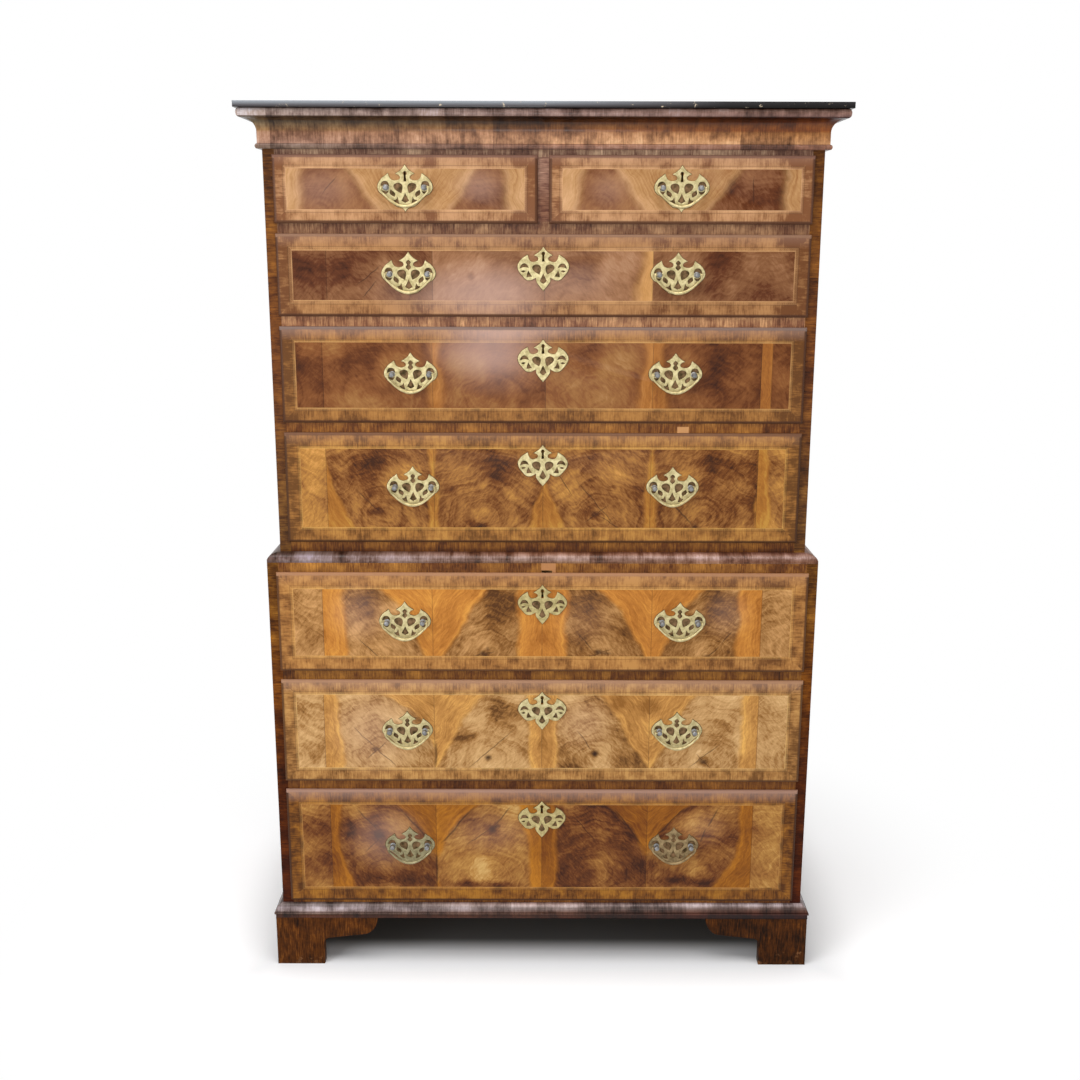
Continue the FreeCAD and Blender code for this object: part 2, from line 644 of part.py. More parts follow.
def lower_chest(drawers):
    """Nodes of the lower carcass, its base and its waist moulding."""
    openings = row_openings(LOWER_FIRST_Z, LOWER_LAST_Z, LOWER_ROWS)
    rails = rail_levels(openings)
    half = LOWER_WIDTH / 2
    bottom_z = (LOWER_BASE_Z, LOWER_FIRST_Z)
    top_z = (LOWER_LAST_Z, LOWER_TOP_Z)
    tenons = [board_tenon(LOWER_Y, bottom_z), board_tenon(LOWER_Y, top_z)]
    boards = [tenoned(LOWER_INNER_X, (LOWER_Y, INNER_BACK_Y), z, *tenon)
              for z, tenon in zip((bottom_z, top_z), tenons)]
    notch = block((WORN_X - WORN_W / 2, WORN_X + WORN_W / 2),
                  (LOWER_Y, LOWER_Y + BOLT_Y - MORTICE_GAP), (top_z[0], top_z[0] + WORN_H))
    boards[1] = boards[1].cut([mortice(drawers["drawer_5"]), notch]).Solids[0]
    tenons += [rail_tenon(LOWER_Y, z) for z in rails]
    side = case_side(half, LOWER_Y, (LOWER_BASE_Z, LOWER_TOP_Z), tenons)
    frames = []
    for z, row in zip(rails, ("drawer_7", "drawer_6")):
        frames += divider(LOWER_INNER_X, LOWER_Y, z, [mortice(drawers[row])])
    return {
        "lower_left_side": [mirrored(side)],
        "lower_right_side": [side],
        "lower_top_and_bottom": boards,
        "lower_back_boards": back_boards(half, (LOWER_BASE_Z, LOWER_TOP_Z)),
        "lower_rails_and_dustboards": frames,
        "waist_moulding": waist_moulding(),
        "base_moulding": base_moulding(),
        "bracket_feet": bracket_feet(),
    }


def upper_chest(drawers):
    """Nodes of the upper carcass and its cornice."""
    openings = row_openings(UPPER_FIRST_Z, UPPER_LAST_Z, UPPER_ROWS)
    rails = rail_levels(openings)
    half = UPPER_WIDTH / 2
    board_y = UPPER_Y + UPPER_BOTTOM_RAIL_T
    bottom_z = (LOWER_TOP_Z, LOWER_TOP_Z + UPPER_BOTTOM_T)
    top_z = (TOP_Z - TOP_BOARD_T, TOP_Z)
    frieze_z = (UPPER_LAST_Z, top_z[0])
    bottom_tenon = board_tenon(board_y, bottom_z)
    top_tenon = board_tenon(UPPER_Y, top_z)
    boards = [tenoned(UPPER_INNER_X, (board_y, INNER_BACK_Y), bottom_z, *bottom_tenon),
              tenoned(UPPER_INNER_X, (UPPER_Y, INNER_BACK_Y), top_z, *top_tenon)]
    side = case_side(half, UPPER_Y, (LOWER_TOP_Z, TOP_Z),
                     [bottom_tenon, top_tenon] + [rail_tenon(UPPER_Y, z) for z in rails])
    frames = [block((-UPPER_INNER_X, UPPER_INNER_X), (UPPER_Y, board_y), (LOWER_TOP_Z, UPPER_FIRST_Z))]
    frames += [block(sorted((side_x * UPPER_INNER_X, side_x * (UPPER_INNER_X - RUNNER_W))),
                     (board_y, INNER_BACK_Y), (bottom_z[1], UPPER_FIRST_Z)) for side_x in (-1, 1)]
    for z, row in zip(rails, ("drawer_4", "drawer_3", "drawer_2")):
        frames += divider(UPPER_INNER_X, UPPER_Y, z, [mortice(drawers[row])], row == "drawer_2")
    frames += short_drawer_frame(openings[3], frieze_z, drawers)
    return {
        "upper_left_side": [mirrored(side)],
        "upper_right_side": [side],
        "upper_top_and_bottom": boards,
        "upper_back_boards": back_boards(half, (LOWER_TOP_Z, TOP_Z)),
        "upper_rails_and_dustboards": frames,
        "cornice": cornice(),
    }


def short_drawer_frame(opening, frieze_z, drawers):
    """Partition and guide between the short drawers, the frieze board and the kickers."""
    mortices = [mortice(drawers[name]) for name in ("drawer_1_left", "drawer_1_right")]
    frieze = block((-UPPER_INNER_X, UPPER_INNER_X), (UPPER_Y, UPPER_Y + FRIEZE_T), frieze_z)
    half = PARTITION_T / 2
    partition = block((-half, half), (UPPER_Y, UPPER_Y + RAIL_DEPTH), opening)
    guide = block((-half, half), (UPPER_Y + RAIL_DEPTH, INNER_BACK_Y), (opening[0], opening[0] + GUIDE_H))
    kicker_y = (UPPER_Y + FRIEZE_T, INNER_BACK_Y)
    kicker_z = (frieze_z[0], frieze_z[0] + KICKER_H)
    kickers = [block(x, kicker_y, kicker_z) for x in (
        (-UPPER_INNER_X, -UPPER_INNER_X + RUNNER_W), (-CENTRE_RUNNER_W / 2, CENTRE_RUNNER_W / 2),
        (UPPER_INNER_X - RUNNER_W, UPPER_INNER_X))]
    return [frieze.cut(mortices).Solids[0], partition, guide] + kickers


# ---- Mouldings and feet -----------------------------------------------------------------------------------
def waist_moulding():
    """Quarter round on the lower chest's top edge, round the foot of the upper chest."""
    z, flat = LOWER_TOP_Z, WAIST_FILLET
    centre = (flat, z + flat)
    profile = [(RUN_GAP, z), (WAIST_LEDGE, z)]
    profile += bow(centre, (WAIST_LEDGE - flat, WAIST_H - flat), 0, 90, ROUND_SIDES)
    profile.append((RUN_GAP, z + WAIST_H))
    return mitred_frame(profile, UPPER_WIDTH / 2, UPPER_Y, BACK_Y)


def base_moulding():
    """Moulding that carries the carcass on its inner flat and laps up its face."""
    z, seat, top = FOOT_H, LOWER_BASE_Z, LOWER_BASE_Z + BASE_LAP
    nose_z = z + BASE_FILLET
    profile = [(0, seat), (-BASE_FLAT_W, seat), (-BASE_FLAT_W, z), (FOOT_REACH, z),
               (FOOT_REACH, nose_z), (BASE_REACH, nose_z), (BASE_REACH, nose_z + BASE_NOSE)]
    centre = (0, nose_z + BASE_NOSE)
    profile += bow(centre, (FOOT_REACH, top - centre[1]), 0, 90, ROUND_SIDES)
    return mitred_frame(profile, LOWER_WIDTH / 2, LOWER_Y, BACK_Y)


def cornice():
    """Bead, frieze, cavetto, torus and top fillet, from the bottom up."""
    z, top = TOP_Z - CORNICE_H, TOP_Z
    fillet_z = top - TOP_FILLET_H
    torus_z = fillet_z - TORUS_H
    torus_reach = CORNICE_REACH - TORUS_SET_BACK
    cavetto = torus_reach - FRIEZE_REACH - CAVETTO_FILLET
    profile = [(0, z)] + bow((FRIEZE_REACH, z + BEAD_H / 2), (BEAD_REACH, BEAD_H / 2), -90, 90, ROUND_SIDES)
    profile += bow((FRIEZE_REACH + cavetto, torus_z - cavetto), (cavetto, cavetto), 180, 90, CAVETTO_SIDES)
    profile += bow((torus_reach, torus_z + TORUS_H / 2), (TORUS_ROUND, TORUS_H / 2), -90, 90, TORUS_SIDES)
    profile += [(CORNICE_REACH, fillet_z), (CORNICE_REACH, top), (0, top)]
    return mitred_frame(profile, UPPER_WIDTH / 2, UPPER_Y, BACK_Y)


def bracket_path():
    """Side view of a foot's bracket: (distance from the corner, height)."""
    leg, length, top = FOOT_LEG_W, FOOT_LENGTH, FOOT_H
    throat = (leg + BRACKET_THROAT, BRACKET_Z - BRACKET_THROAT)
    tip = (length - BRACKET_TIP, top)
    path = [(0, 0), (leg, 0)]
    path += bow(throat, (BRACKET_THROAT, BRACKET_THROAT), 180, 90 + BRACKET_SLOPE, THROAT_SIDES)
    path += bow(tip, (BRACKET_TIP, top - BRACKET_Z - BRACKET_RISE), BRACKET_SLOPE - 90, 0, TIP_SIDES)
    return path + [(0, top)]


def bracket_feet():
    """Four bracket feet, each of two boards mitred at the corner, with glue blocks behind."""
    half = LOWER_WIDTH / 2 + FOOT_REACH
    front = LOWER_Y - FOOT_REACH
    inner = half - FOOT_T
    far = FOOT_LENGTH + 1
    path = bracket_path()
    facing = polygon([Vec(half - u, front, z) for u, z in path]).extrude(Vec(0, FOOT_T, 0))
    corners = [(half, front), (inner, front + FOOT_T), (half - far, front + FOOT_T), (half - far, front)]
    facing = facing.common(mitre_cutter(corners, -1, FOOT_H + 1)).Solids[0]
    side = polygon([Vec(inner, front + u, z) for u, z in path]).extrude(Vec(FOOT_T, 0, 0))
    corners = [(half, front), (half, front + far), (inner, front + far), (inner, front + FOOT_T)]
    side = side.common(mitre_cutter(corners, -1, FOOT_H + 1)).Solids[0]
    rear_side = polygon([Vec(inner, BACK_Y - u, z) for u, z in path]).extrude(Vec(FOOT_T, 0, 0))
    rear_board = block((inner - FOOT_LEG_W, inner), (BACK_Y - FOOT_T, BACK_Y), (0, FOOT_H))
    right = [facing, side, rear_side, rear_board,
             corner_block(inner, front + FOOT_T, 1), corner_block(inner, BACK_Y - FOOT_T, -1)]
    return right + [mirrored(solid) for solid in right]


def corner_block(x, y, inward):
    """Glue block in the corner of a foot, a little short of the floor."""
    return block((x - GLUE_BLOCK, x), sorted((y, y + inward * GLUE_BLOCK)), (GLUE_BLOCK_UP, FOOT_H))


def build():
    """All nodes of the piece, by name."""
    drawers = {drawer.name: drawer for drawer in all_drawers()}
    nodes = {}
    nodes.update(lower_chest(drawers))
    nodes.update(upper_chest(drawers))
    for drawer in drawers.values():
        nodes[drawer.name + "_front"] = drawer_front(drawer)
        nodes[drawer.name + "_box"] = drawer_box(drawer)
        nodes[drawer.name + "_brasses"] = drawer_brasses(drawer)
        nodes[drawer.name + "_lock_bolt"] = lock_bolt(drawer)
        for side, x in drawer.handles.items():
            nodes[drawer.name + side + "_bail"] = bail(drawer, x)
    return nodes


def main():
    """Build every node and write it to its own file."""
    os.makedirs("parts", exist_ok=True)
    for name, solids in build().items():
        save(name, solids)


if __name__ == "__main__":
    main()
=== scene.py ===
"""Finishes, brasses and studio of a walnut chest on chest.

Metres, +Z up, front towards -Y. Patterns are worked out in millimetres, as a cabinet maker would
lay them out. Drawer rows are counted from the top.
"""

import json
import logging
from dataclasses import dataclass, field
from enum import Enum
from math import cos, pi, radians, sin

import bmesh
import bpy
from bmesh.types import BMVert
from bpy.types import Curve, Material, Mesh, NodeSocket as Socket, Object
from mathutils import Matrix, Vector

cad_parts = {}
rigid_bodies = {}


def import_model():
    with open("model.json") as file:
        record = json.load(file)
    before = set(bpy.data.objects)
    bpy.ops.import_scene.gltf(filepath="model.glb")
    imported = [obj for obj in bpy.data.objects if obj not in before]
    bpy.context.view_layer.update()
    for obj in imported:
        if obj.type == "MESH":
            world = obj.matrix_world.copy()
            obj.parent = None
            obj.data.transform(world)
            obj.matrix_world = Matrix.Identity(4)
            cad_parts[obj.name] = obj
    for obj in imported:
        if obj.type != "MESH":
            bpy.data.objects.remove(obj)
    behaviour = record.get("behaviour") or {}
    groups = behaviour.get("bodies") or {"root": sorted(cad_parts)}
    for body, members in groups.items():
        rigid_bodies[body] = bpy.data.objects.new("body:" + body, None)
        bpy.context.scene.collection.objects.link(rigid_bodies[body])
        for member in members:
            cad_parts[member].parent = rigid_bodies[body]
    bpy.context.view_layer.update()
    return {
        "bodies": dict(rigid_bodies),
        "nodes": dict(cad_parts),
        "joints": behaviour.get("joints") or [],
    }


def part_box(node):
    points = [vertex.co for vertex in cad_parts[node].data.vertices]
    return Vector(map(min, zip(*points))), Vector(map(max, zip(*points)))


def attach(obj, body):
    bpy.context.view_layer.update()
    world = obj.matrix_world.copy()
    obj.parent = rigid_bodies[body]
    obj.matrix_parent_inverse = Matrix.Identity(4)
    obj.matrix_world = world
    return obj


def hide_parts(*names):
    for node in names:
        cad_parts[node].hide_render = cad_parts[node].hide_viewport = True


log = logging.getLogger("chest")

MM = 0.001
Colour = tuple[float, float, float, float]


def link(item: Object) -> None:
    """Puts an object in the scene."""
    bpy.context.scene.collection.objects.link(item)


def tint(code: str) -> Colour:
    """Linear colour of an sRGB hex code.

    Args:
        code: Six hex digits after a hash sign.

    Returns:
        Red, green, blue and an alpha of 1.
    """
    values = [int(code[k:k + 2], 16) / 255 for k in (1, 3, 5)]
    linear = [v / 12.92 if v <= 0.04045 else ((v + 0.055) / 1.055) ** 2.4 for v in values]
    return (linear[0], linear[1], linear[2], 1.0)


class Tree:
    """Node tree of one material, or of the room around the object."""

    def __init__(self, name: str, world: bool = False) -> None:
        """Starts an empty material or world.

        Args:
            name: Its name.
            world: Whether the tree is a world's.
        """
        self.material = (bpy.data.worlds if world else bpy.data.materials).new(name)
        self.material.use_nodes = True
        self.nodes = self.material.node_tree.nodes
        self.links = self.material.node_tree.links
        self.nodes.clear()

    def add(self, kind: str, *inputs: object, out: int | str = 0, into: dict | None = None,
            ramp: list | None = None, **settings: object) -> Socket:
        """Adds a node with its settings and links.

        Args:
            kind: Blender's name of the node, without "ShaderNode". The operation of a Math or VectorMath
                node, or the data type of a Mix node, may follow after a dot.
            inputs: Sockets or values for the node's inputs in order; None leaves one as it is.
            out: Which output to return.
            into: More inputs, by name.
            ramp: Places and colours of a colour ramp.
            settings: The node's own properties.

        Returns:
            The output asked for.
        """
        kind, _, choice = kind.partition(".")
        node = self.nodes.new("ShaderNode" + kind)
        if choice:
            settings["data_type" if kind == "Mix" else "operation"] = choice
        for key, value in settings.items():
            setattr(node, key, value)
        if ramp:
            elements = node.color_ramp.elements
            while len(elements) < len(ramp):
                elements.new(0.5)
            for element, (place, colour) in zip(elements, ramp):
                element.position, element.color = place, colour
        enabled = [socket for socket in node.inputs if socket.enabled]
        pairs = list(zip(enabled, inputs)) + [(node.inputs[key], value) for key, value in (into or {}).items()]
        for socket, value in pairs:
            if isinstance(value, Socket):
                self.links.new(value, socket)
            elif value is not None:
                socket.default_value = value
        if isinstance(out, str):
            return node.outputs[out]
        return [socket for socket in node.outputs if socket.enabled][out]

    def place(self, centre: Vector | None = None) -> list[Socket]:
        """Millimetres from a point, along X, Y and Z.

        Args:
            centre: The point, in metres; None for the shared origin.

        Returns:
            The three distances.
        """
        point = self.add("TexCoord", out="Object")
        if centre is not None:
            point = self.add("VectorMath", point, tuple(centre), operation="SUBTRACT")
        scaled = self.add("VectorMath", point, (1 / MM,) * 3, operation="MULTIPLY")
        return list(self.add("SeparateXYZ", scaled).node.outputs)

    def surface(self, colour: Socket, roughness: Socket | float, height: Socket | None = None,
                relief: float = 0.2, **fixed: float) -> Material:
        """Closes the tree with a principled surface.

        Args:
            colour: Base colour.
            roughness: Roughness.
            height: Pattern that the relief follows, 0 to 1.
            relief: Depth of the relief in millimetres.
            fixed: Uniform values by socket name, with underscores for spaces.

        Returns:
            The finished material.
        """
        into = {"Base Color": colour, "Roughness": roughness}
        if height is not None:
            into["Normal"] = self.add("Bump", into={"Height": height, "Distance": relief * MM, "Strength": 1})
        into.update({key.replace("_", " ").title().replace("Ior", "IOR"): value for key, value in fixed.items()})
        shader = self.add("BsdfPrincipled", into=into)
        self.add_output(shader)
        return self.material

    def add_output(self, shader: Socket, kind: str = "Material") -> None:
        """Ends the tree at a shader."""
        output = self.nodes.new("ShaderNodeOutput" + kind)
        self.links.new(shader, output.inputs["Surface"])


class Axis(Enum):
    """Direction in which a crossgrain veneer is laid piece after piece."""

    ACROSS = "across"       # along the rails, and round the mouldings
    UP = "up"               # along the stiles


@dataclass(frozen=True)
class Polish:
    """Waxed shellac on old veneer, rubbed by hand.

    It gives the eye a soft gloss that breaks up over the pores and swims over a slightly wavy ground.
    """

    roughness: float = 0.40
    coat: float = 0.06
    coat_roughness: float = 0.16
    gloss: float = 0.14             # specular level under the coat
    wave: float = 0.35              # millimetres that the ground waves
    wave_length: float = 90.0       # millimetres from one wave to the next
    pores: float = 0.12             # share of the grain in relief and roughness

    def finish(self, tree: Tree, colour: Socket, grain: Socket) -> Material:
        """Closes a wood's tree with this polish.

        Args:
            tree: The material's tree.
            colour: Colour of the wood.
            grain: Grain pattern, 0 to 1.

        Returns:
            The finished material.
        """
        x, y, z = tree.place()
        point = tree.add("CombineXYZ", x, y, z)
        ground = tree.add("TexNoise", point, 1 / self.wave_length, 1)
        height = tree.add("Math.MULTIPLY_ADD", grain, self.pores, ground)
        rough = tree.add("Math.MULTIPLY_ADD", grain, self.pores, self.roughness - self.pores / 2)
        return tree.surface(colour, rough, height, self.wave, coat_weight=self.coat,
                            coat_roughness=self.coat_roughness, specular_ior_level=self.gloss, ior=1.5)


class Row:
    """Something that a figure has several of."""

    @classmethod
    def rows(cls, *rows: tuple) -> tuple:
        """One of these for each row of its values."""
        return tuple(cls(*row) for row in rows)


@dataclass(frozen=True)
class Leaf(Row):
    """One leaf of a matched veneer, in millimetres from the drawer's middle.

    Heartwood lies between two boundaries. Each is given where it meets the foot and the head of the
    field and by how far it bows to the right half way up. Tone goes from 0, dark, to 1, pale.
    """

    end: float                                  # right edge of the leaf
    left: tuple[float, float, float]
    right: tuple[float, float, float]
    tone: float = 0.5


@dataclass(frozen=True)
class Cloud(Row):
    """Darker or paler cloud in a veneer: its middle, half its width and height, and its depth."""

    x: float
    z: float
    width: float
    height: float
    depth: float                                # negative where it is darker


@dataclass(frozen=True)
class Crack(Row):
    """Hairline crack in a veneer, from one point to another."""

    start: tuple[float, float]
    end: tuple[float, float]
    width: float = 0.9


@dataclass(frozen=True)
class Figure:
    """How one row's veneer is laid and marked."""

    leaves: tuple[Leaf, ...]
    clouds: tuple[Cloud, ...] = ()
    cracks: tuple[Crack, ...] = ()
    knots: tuple[Cloud, ...] = ()
    painted_sheens: tuple[Cloud, ...] = ()              # painted sheen: pale clouds of painted reflection on the gloss
    fine: float = 1.0                           # strength of rings and flecks
    eye: tuple[float, float] = (105.0, -60.0)   # middle of the rings, from a joint and from the middle height
    match: float = 209.0                        # width of a leaf
    soft: float = 7.0                           # half the width in which heartwood gives way to sapwood


@dataclass(frozen=True)
class VeneerPalette:
    """Colours of a drawer front's walnut, from dark to pale."""

    heart: tuple[str, ...]
    sap: tuple[str, ...]
    band: tuple[str, ...]
    line: str = "#D2A468"
    # colour of the lip: the walnut's own dark edge, with painted shade on its sides and foot
    lip: str = "#6E4328"
    lip_top_highlight: str = "#A88062"        # painted highlight along the top lip, where it looks up
    painted_sheen_colour: str = "#C3A59C"          # colour of the painted sheen, a pale pinkish painted reflection


@dataclass(frozen=True)
class MatchedVeneer:
    """Walnut drawer front: matched leaves in feather stringing and a crossband, oak behind.

    Sawn walnut, laid leaf by leaf, gives the eye dark heartwood with rings and paler sapwood, turned
    over at every joint. Fine lines are drawn 5 mm apart and more, because closer ones would not show.
    """

    name: str
    centre: Vector
    half: tuple[float, float]
    figure: Figure
    palette: VeneerPalette
    band: float = 24.0
    feather: float = 6.0
    lip: float = 7.0
    polish: Polish = Polish()
    drift: float = 0.0              # shifts the pattern, so that no two drawers match
    slope: float = 0.0              # change of tone from the middle to the right end: the wood's tone with painted shade
    ends: float = 0.0               # change of tone of the crossband at the ends
    dust: float = 0.12              # dust and painted sheen, paling the upper crossband towards its top
    wave: float = 75.0              # millimetres from one wave of the grain to the next
    stray: float = 22.0             # millimetres that the waves carry the heartwood's edge to either side
    ring: float = 12.0              # millimetres from one year's ring to the next
    line: float = 8.0               # usual width of a line in the heartwood
    fleck: float = 5.0              # usual width of flecks and of streaks in the sapwood
    cloud: float = 66.0             # usual width of a cloud
    ripple: float = 30.0            # millimetres from one ripple of the clouds' edges to the next
    sway: float = 26.0              # millimetres that streaks and the clouds' edges sway
    bend: float = 70.0              # millimetres that the waves bend the rings

    def pick(self, tree: Tree, x: Socket) -> list[Socket]:
        """Finds the leaf that a point lies in.

        Args:
            tree: The material's tree.
            x: Millimetres along the drawer from its middle.

        Returns:
            The leaf's left boundary, its right boundary, and its tone and end.
        """
        rows = [(leaf.left, leaf.right, (leaf.tone, leaf.end, 0.0)) for leaf in self.figure.leaves]
        picked = list(rows[0])
        for leaf, row in zip(self.figure.leaves, rows[1:]):
            beyond = tree.add("Math.GREATER_THAN", x, leaf.end)
            picked = [tree.add("Mix.VECTOR", beyond, old, new) for old, new in zip(picked, row)]
        return picked

    def clouded(self, tree: Tree, point: Socket, tone: Socket | float, clouds: tuple[Cloud, ...]) -> Socket | float:
        """Adds clouds to a tone.

        Args:
            tree: The material's tree.
            point: Millimetres from the drawer's middle, a little wavy.
            tone: The tone so far.
            clouds: The clouds to add.

        Returns:
            The tone with its clouds.
        """
        add = tree.add
        for cloud in clouds:
            offset = add("VectorMath.SUBTRACT", point, (cloud.x, cloud.z, 0))
            scaled = add("VectorMath.MULTIPLY", offset, (1 / cloud.width, 1 / cloud.height, 0))
            reach = add("VectorMath.LENGTH", scaled, out="Value")
            depth = add("MapRange", reach, 0.1, 1.25, cloud.depth, 0, interpolation_type="SMOOTHSTEP")
            tone = add("Math.ADD", tone, depth)
        return tone

    def cracked(self, tree: Tree, point: Socket) -> Socket:
        """Depth of the figure's cracks.

        Args:
            tree: The material's tree.
            point: Millimetres from the drawer's middle, a little wavy.

        Returns:
            The depth at the point, 0 to 1.
        """
        add = tree.add
        depth = None
        for crack in self.figure.cracks:
            start, end = Vector((*crack.start, 0.0)), Vector((*crack.end, 0.0))
            run, middle = (end - start).normalized(), (start + end) / 2
            across = Vector((-run.y, run.x, 0.0))
            offset = add("VectorMath.SUBTRACT", point, tuple(middle))
            side = add("VectorMath.DOT_PRODUCT", offset, tuple(across), out="Value")
            along = add("VectorMath.DOT_PRODUCT", offset, tuple(run), out="Value")
            thin = add("MapRange", add("Math.ABSOLUTE", side), crack.width * 0.5, crack.width * 1.5, 1, 0)
            half = (end - start).length / 2
            near = add("MapRange", add("Math.ABSOLUTE", along), half * 0.5, half, 0.62, 0)
            line = add("Math.MULTIPLY", thin, near)
            depth = line if depth is None else add("Math.MAXIMUM", depth, line)
        return depth

    def inside(self, tree: Tree, x: Socket, z: Socket, left_line: Socket, right_line: Socket) -> Socket:
        """Distance to the heartwood's nearer boundary.

        Args:
            tree: The material's tree.
            x: Millimetres along the drawer from its middle.
            z: Millimetres up from its middle.
            left_line: The leaf's left boundary at the foot and at the head, and its bow.
            right_line: The same of its right boundary.

        Returns:
            Millimetres inside the heartwood, negative outside it.
        """
        add = tree.add
        reach = self.half[1] - self.band - self.feather
        up = add("MapRange", z, -reach, reach)
        down = add("Math.SUBTRACT", 1, up)
        bow = add("Math.MULTIPLY", add("Math.MULTIPLY", down, up), 4)
        blend = add("CombineXYZ", down, up, bow)
        left = add("VectorMath.DOT_PRODUCT", left_line, blend, out="Value")
        right = add("VectorMath.DOT_PRODUCT", right_line, blend, out="Value")
        return add("Math.SMOOTH_MIN", add("Math.SUBTRACT", x, left), add("Math.SUBTRACT", right, x), 12)

    def heartwood(self, tree: Tree, tone: Socket, inside: Socket, rings: Socket, lines: Socket) -> Socket:
        """Dark wood with a ring for each year.

        Args:
            tree: The material's tree.
            tone: Tone of the leaf with its clouds.
            inside: Millimetres inside the heartwood.
            rings: Millimetres from the middle of the rings.
            lines: Fine lines along the rings, 0 to 1.

        Returns:
            The heartwood's colour.
        """
        add = tree.add
        fine = self.figure.fine
        growth = add("Math.FRACT", add("Math.MULTIPLY", rings, 1 / self.ring))
        growth = add("Math.POWER", growth, 2.4)
        tone = add("Math.MULTIPLY_ADD", lines, 0.85 * fine, add("Math.SUBTRACT", tone, 0.42 * fine))
        tone = add("Math.SUBTRACT", tone, add("Math.MULTIPLY", growth, 0.07 * fine))
        rim = add("MapRange", add("Math.SUBTRACT", inside, 6), -8, 18, 0.12, 0)
        return add("ValToRGB", add("Math.SUBTRACT", tone, rim), ramp=spread(self.palette.heart))

    def sapwood(self, tree: Tree, tone: Socket, inside: Socket, streaks: Socket) -> Socket:
        """Pale wood, palest beside the heartwood.

        Args:
            tree: The material's tree.
            tone: Tone of the leaf with its clouds.
            inside: Millimetres inside the heartwood.
            streaks: Fine streaks along the heartwood's edge, 0 to 1.

        Returns:
            The sapwood's colour.
        """
        add = tree.add
        tone = add("Math.MULTIPLY_ADD", streaks, 1.4, add("Math.SUBTRACT", tone, 0.7))
        past = add("Math.ABSOLUTE", add("Math.ADD", inside, 5))
        tone = add("Math.ADD", tone, add("MapRange", past, 0, 9, 0.2, 0))
        return add("ValToRGB", tone, ramp=spread(self.palette.sap))

    def field(self, tree: Tree, x: Socket, z: Socket) -> tuple[Socket, Socket]:
        """Colour and grain inside the stringing.

        Args:
            tree: The material's tree.
            x: Millimetres along the drawer from its middle.
            z: Millimetres up from its middle.

        Returns:
            The colour and the grain pattern.
        """
        add = tree.add
        figure = self.figure
        left_line, right_line, other = self.pick(tree, x)
        leaf_tone, leaf_end, _ = add("SeparateXYZ", other).node.outputs
        folded = add("Math.PINGPONG", x, figure.match)
        drift = add("Math.MULTIPLY_ADD", x, 0.05, self.drift)
        matched = add("CombineXYZ", folded, z, drift)
        wander = add("TexNoise", matched, 1 / self.wave, 3, 0.55)
        shift = add("MapRange", wander, 0, 1, -self.stray, self.stray, clamp=False)
        inside = add("Math.ADD", self.inside(tree, x, z, left_line, right_line), shift)
        heart = add("MapRange", inside, -figure.soft, figure.soft, 0, 1, interpolation_type="SMOOTHSTEP")

        offset = add("VectorMath.SUBTRACT", matched, (*figure.eye, 0))
        flat = add("VectorMath.MULTIPLY", offset, (0.8, 1.1, 0))
        rings = add("Math.MULTIPLY_ADD", wander, self.bend, add("VectorMath.LENGTH", flat, out="Value"))
        along = add("CombineXYZ", rings, add("Math.MULTIPLY", folded, 0.05), drift)
        lines = add("TexNoise", along, 1 / self.line, 5, 0.66)
        slanted = add("CombineXYZ", add("Math.ADD", folded, add("Math.MULTIPLY", z, 0.7)),
                      add("Math.MULTIPLY", z, 0.5), drift)
        fleck = add("TexNoise", slanted, 1 / self.fleck, 4, 0.7)
        flow = add("Math.MULTIPLY_ADD", wander, self.sway, inside)
        along = add("CombineXYZ", flow, add("Math.MULTIPLY", z, 0.06), drift)
        streaks = add("TexNoise", along, 1 / self.fleck, 5, 0.7)
        wavy = add("VectorMath.SUBTRACT", add("TexNoise", matched, 1 / self.ripple, 2, out="Color"), (0.5, 0.5, 0.5))
        wavy = add("VectorMath.MULTIPLY", wavy, (self.sway, self.sway, 0))
        flat_point = add("CombineXYZ", x, z, 0)

        cloud = add("TexNoise", matched, 1 / self.cloud, 3, 0.5)
        tone = add("Math.MULTIPLY_ADD", cloud, 1.3, add("Math.SUBTRACT", leaf_tone, 0.65))
        tone = add("Math.MULTIPLY_ADD", fleck, 0.9 * figure.fine, add("Math.SUBTRACT", tone, 0.45 * figure.fine))
        # Darker towards the right: the wood's tone with painted shade.
        tone = add("Math.MULTIPLY_ADD", x, self.slope / self.half[0], tone)
        tone = self.clouded(tree, add("VectorMath.ADD", flat_point, wavy), tone, figure.clouds)
        colour = add("Mix.RGBA", heart, self.sapwood(tree, tone, inside, streaks),
                     self.heartwood(tree, tone, inside, rings, lines))

        joint = add("Math.ABSOLUTE", add("Math.SUBTRACT", x, leaf_end))
        marks = add("MapRange", joint, 0.5, 1.7, 0.5, 0)
        if figure.cracks:
            small = add("VectorMath.MULTIPLY", wavy, (0.32, 0.32, 0))
            bent = add("VectorMath.ADD", flat_point, small)
            marks = add("Math.MAXIMUM", marks, self.cracked(tree, bent))
            marks = add("Math.MAXIMUM", marks, self.clouded(tree, bent, 0, figure.knots))
        colour = add("Mix.RGBA", marks, colour, tint("#25120A"))
        grain = add("Math.MULTIPLY_ADD", lines, 0.5, add("Math.MULTIPLY", fleck, 0.5))
        return colour, grain

    def material(self) -> Material:
        """Builds the front's material.

        Returns:
            The material.
        """
        tree = Tree(self.name)
        add = tree.add
        x, y, z = tree.place(self.centre)
        end_edge = add("Math.SUBTRACT", self.half[0], add("Math.ABSOLUTE", x))
        long_edge = add("Math.SUBTRACT", self.half[1], add("Math.ABSOLUTE", z))
        edge = add("Math.MINIMUM", end_edge, long_edge)
        is_end = add("Math.LESS_THAN", end_edge, long_edge)
        along = add("Mix", is_end, x, z)
        ends = add("MapRange", end_edge, 8, 70, self.ends, 0)
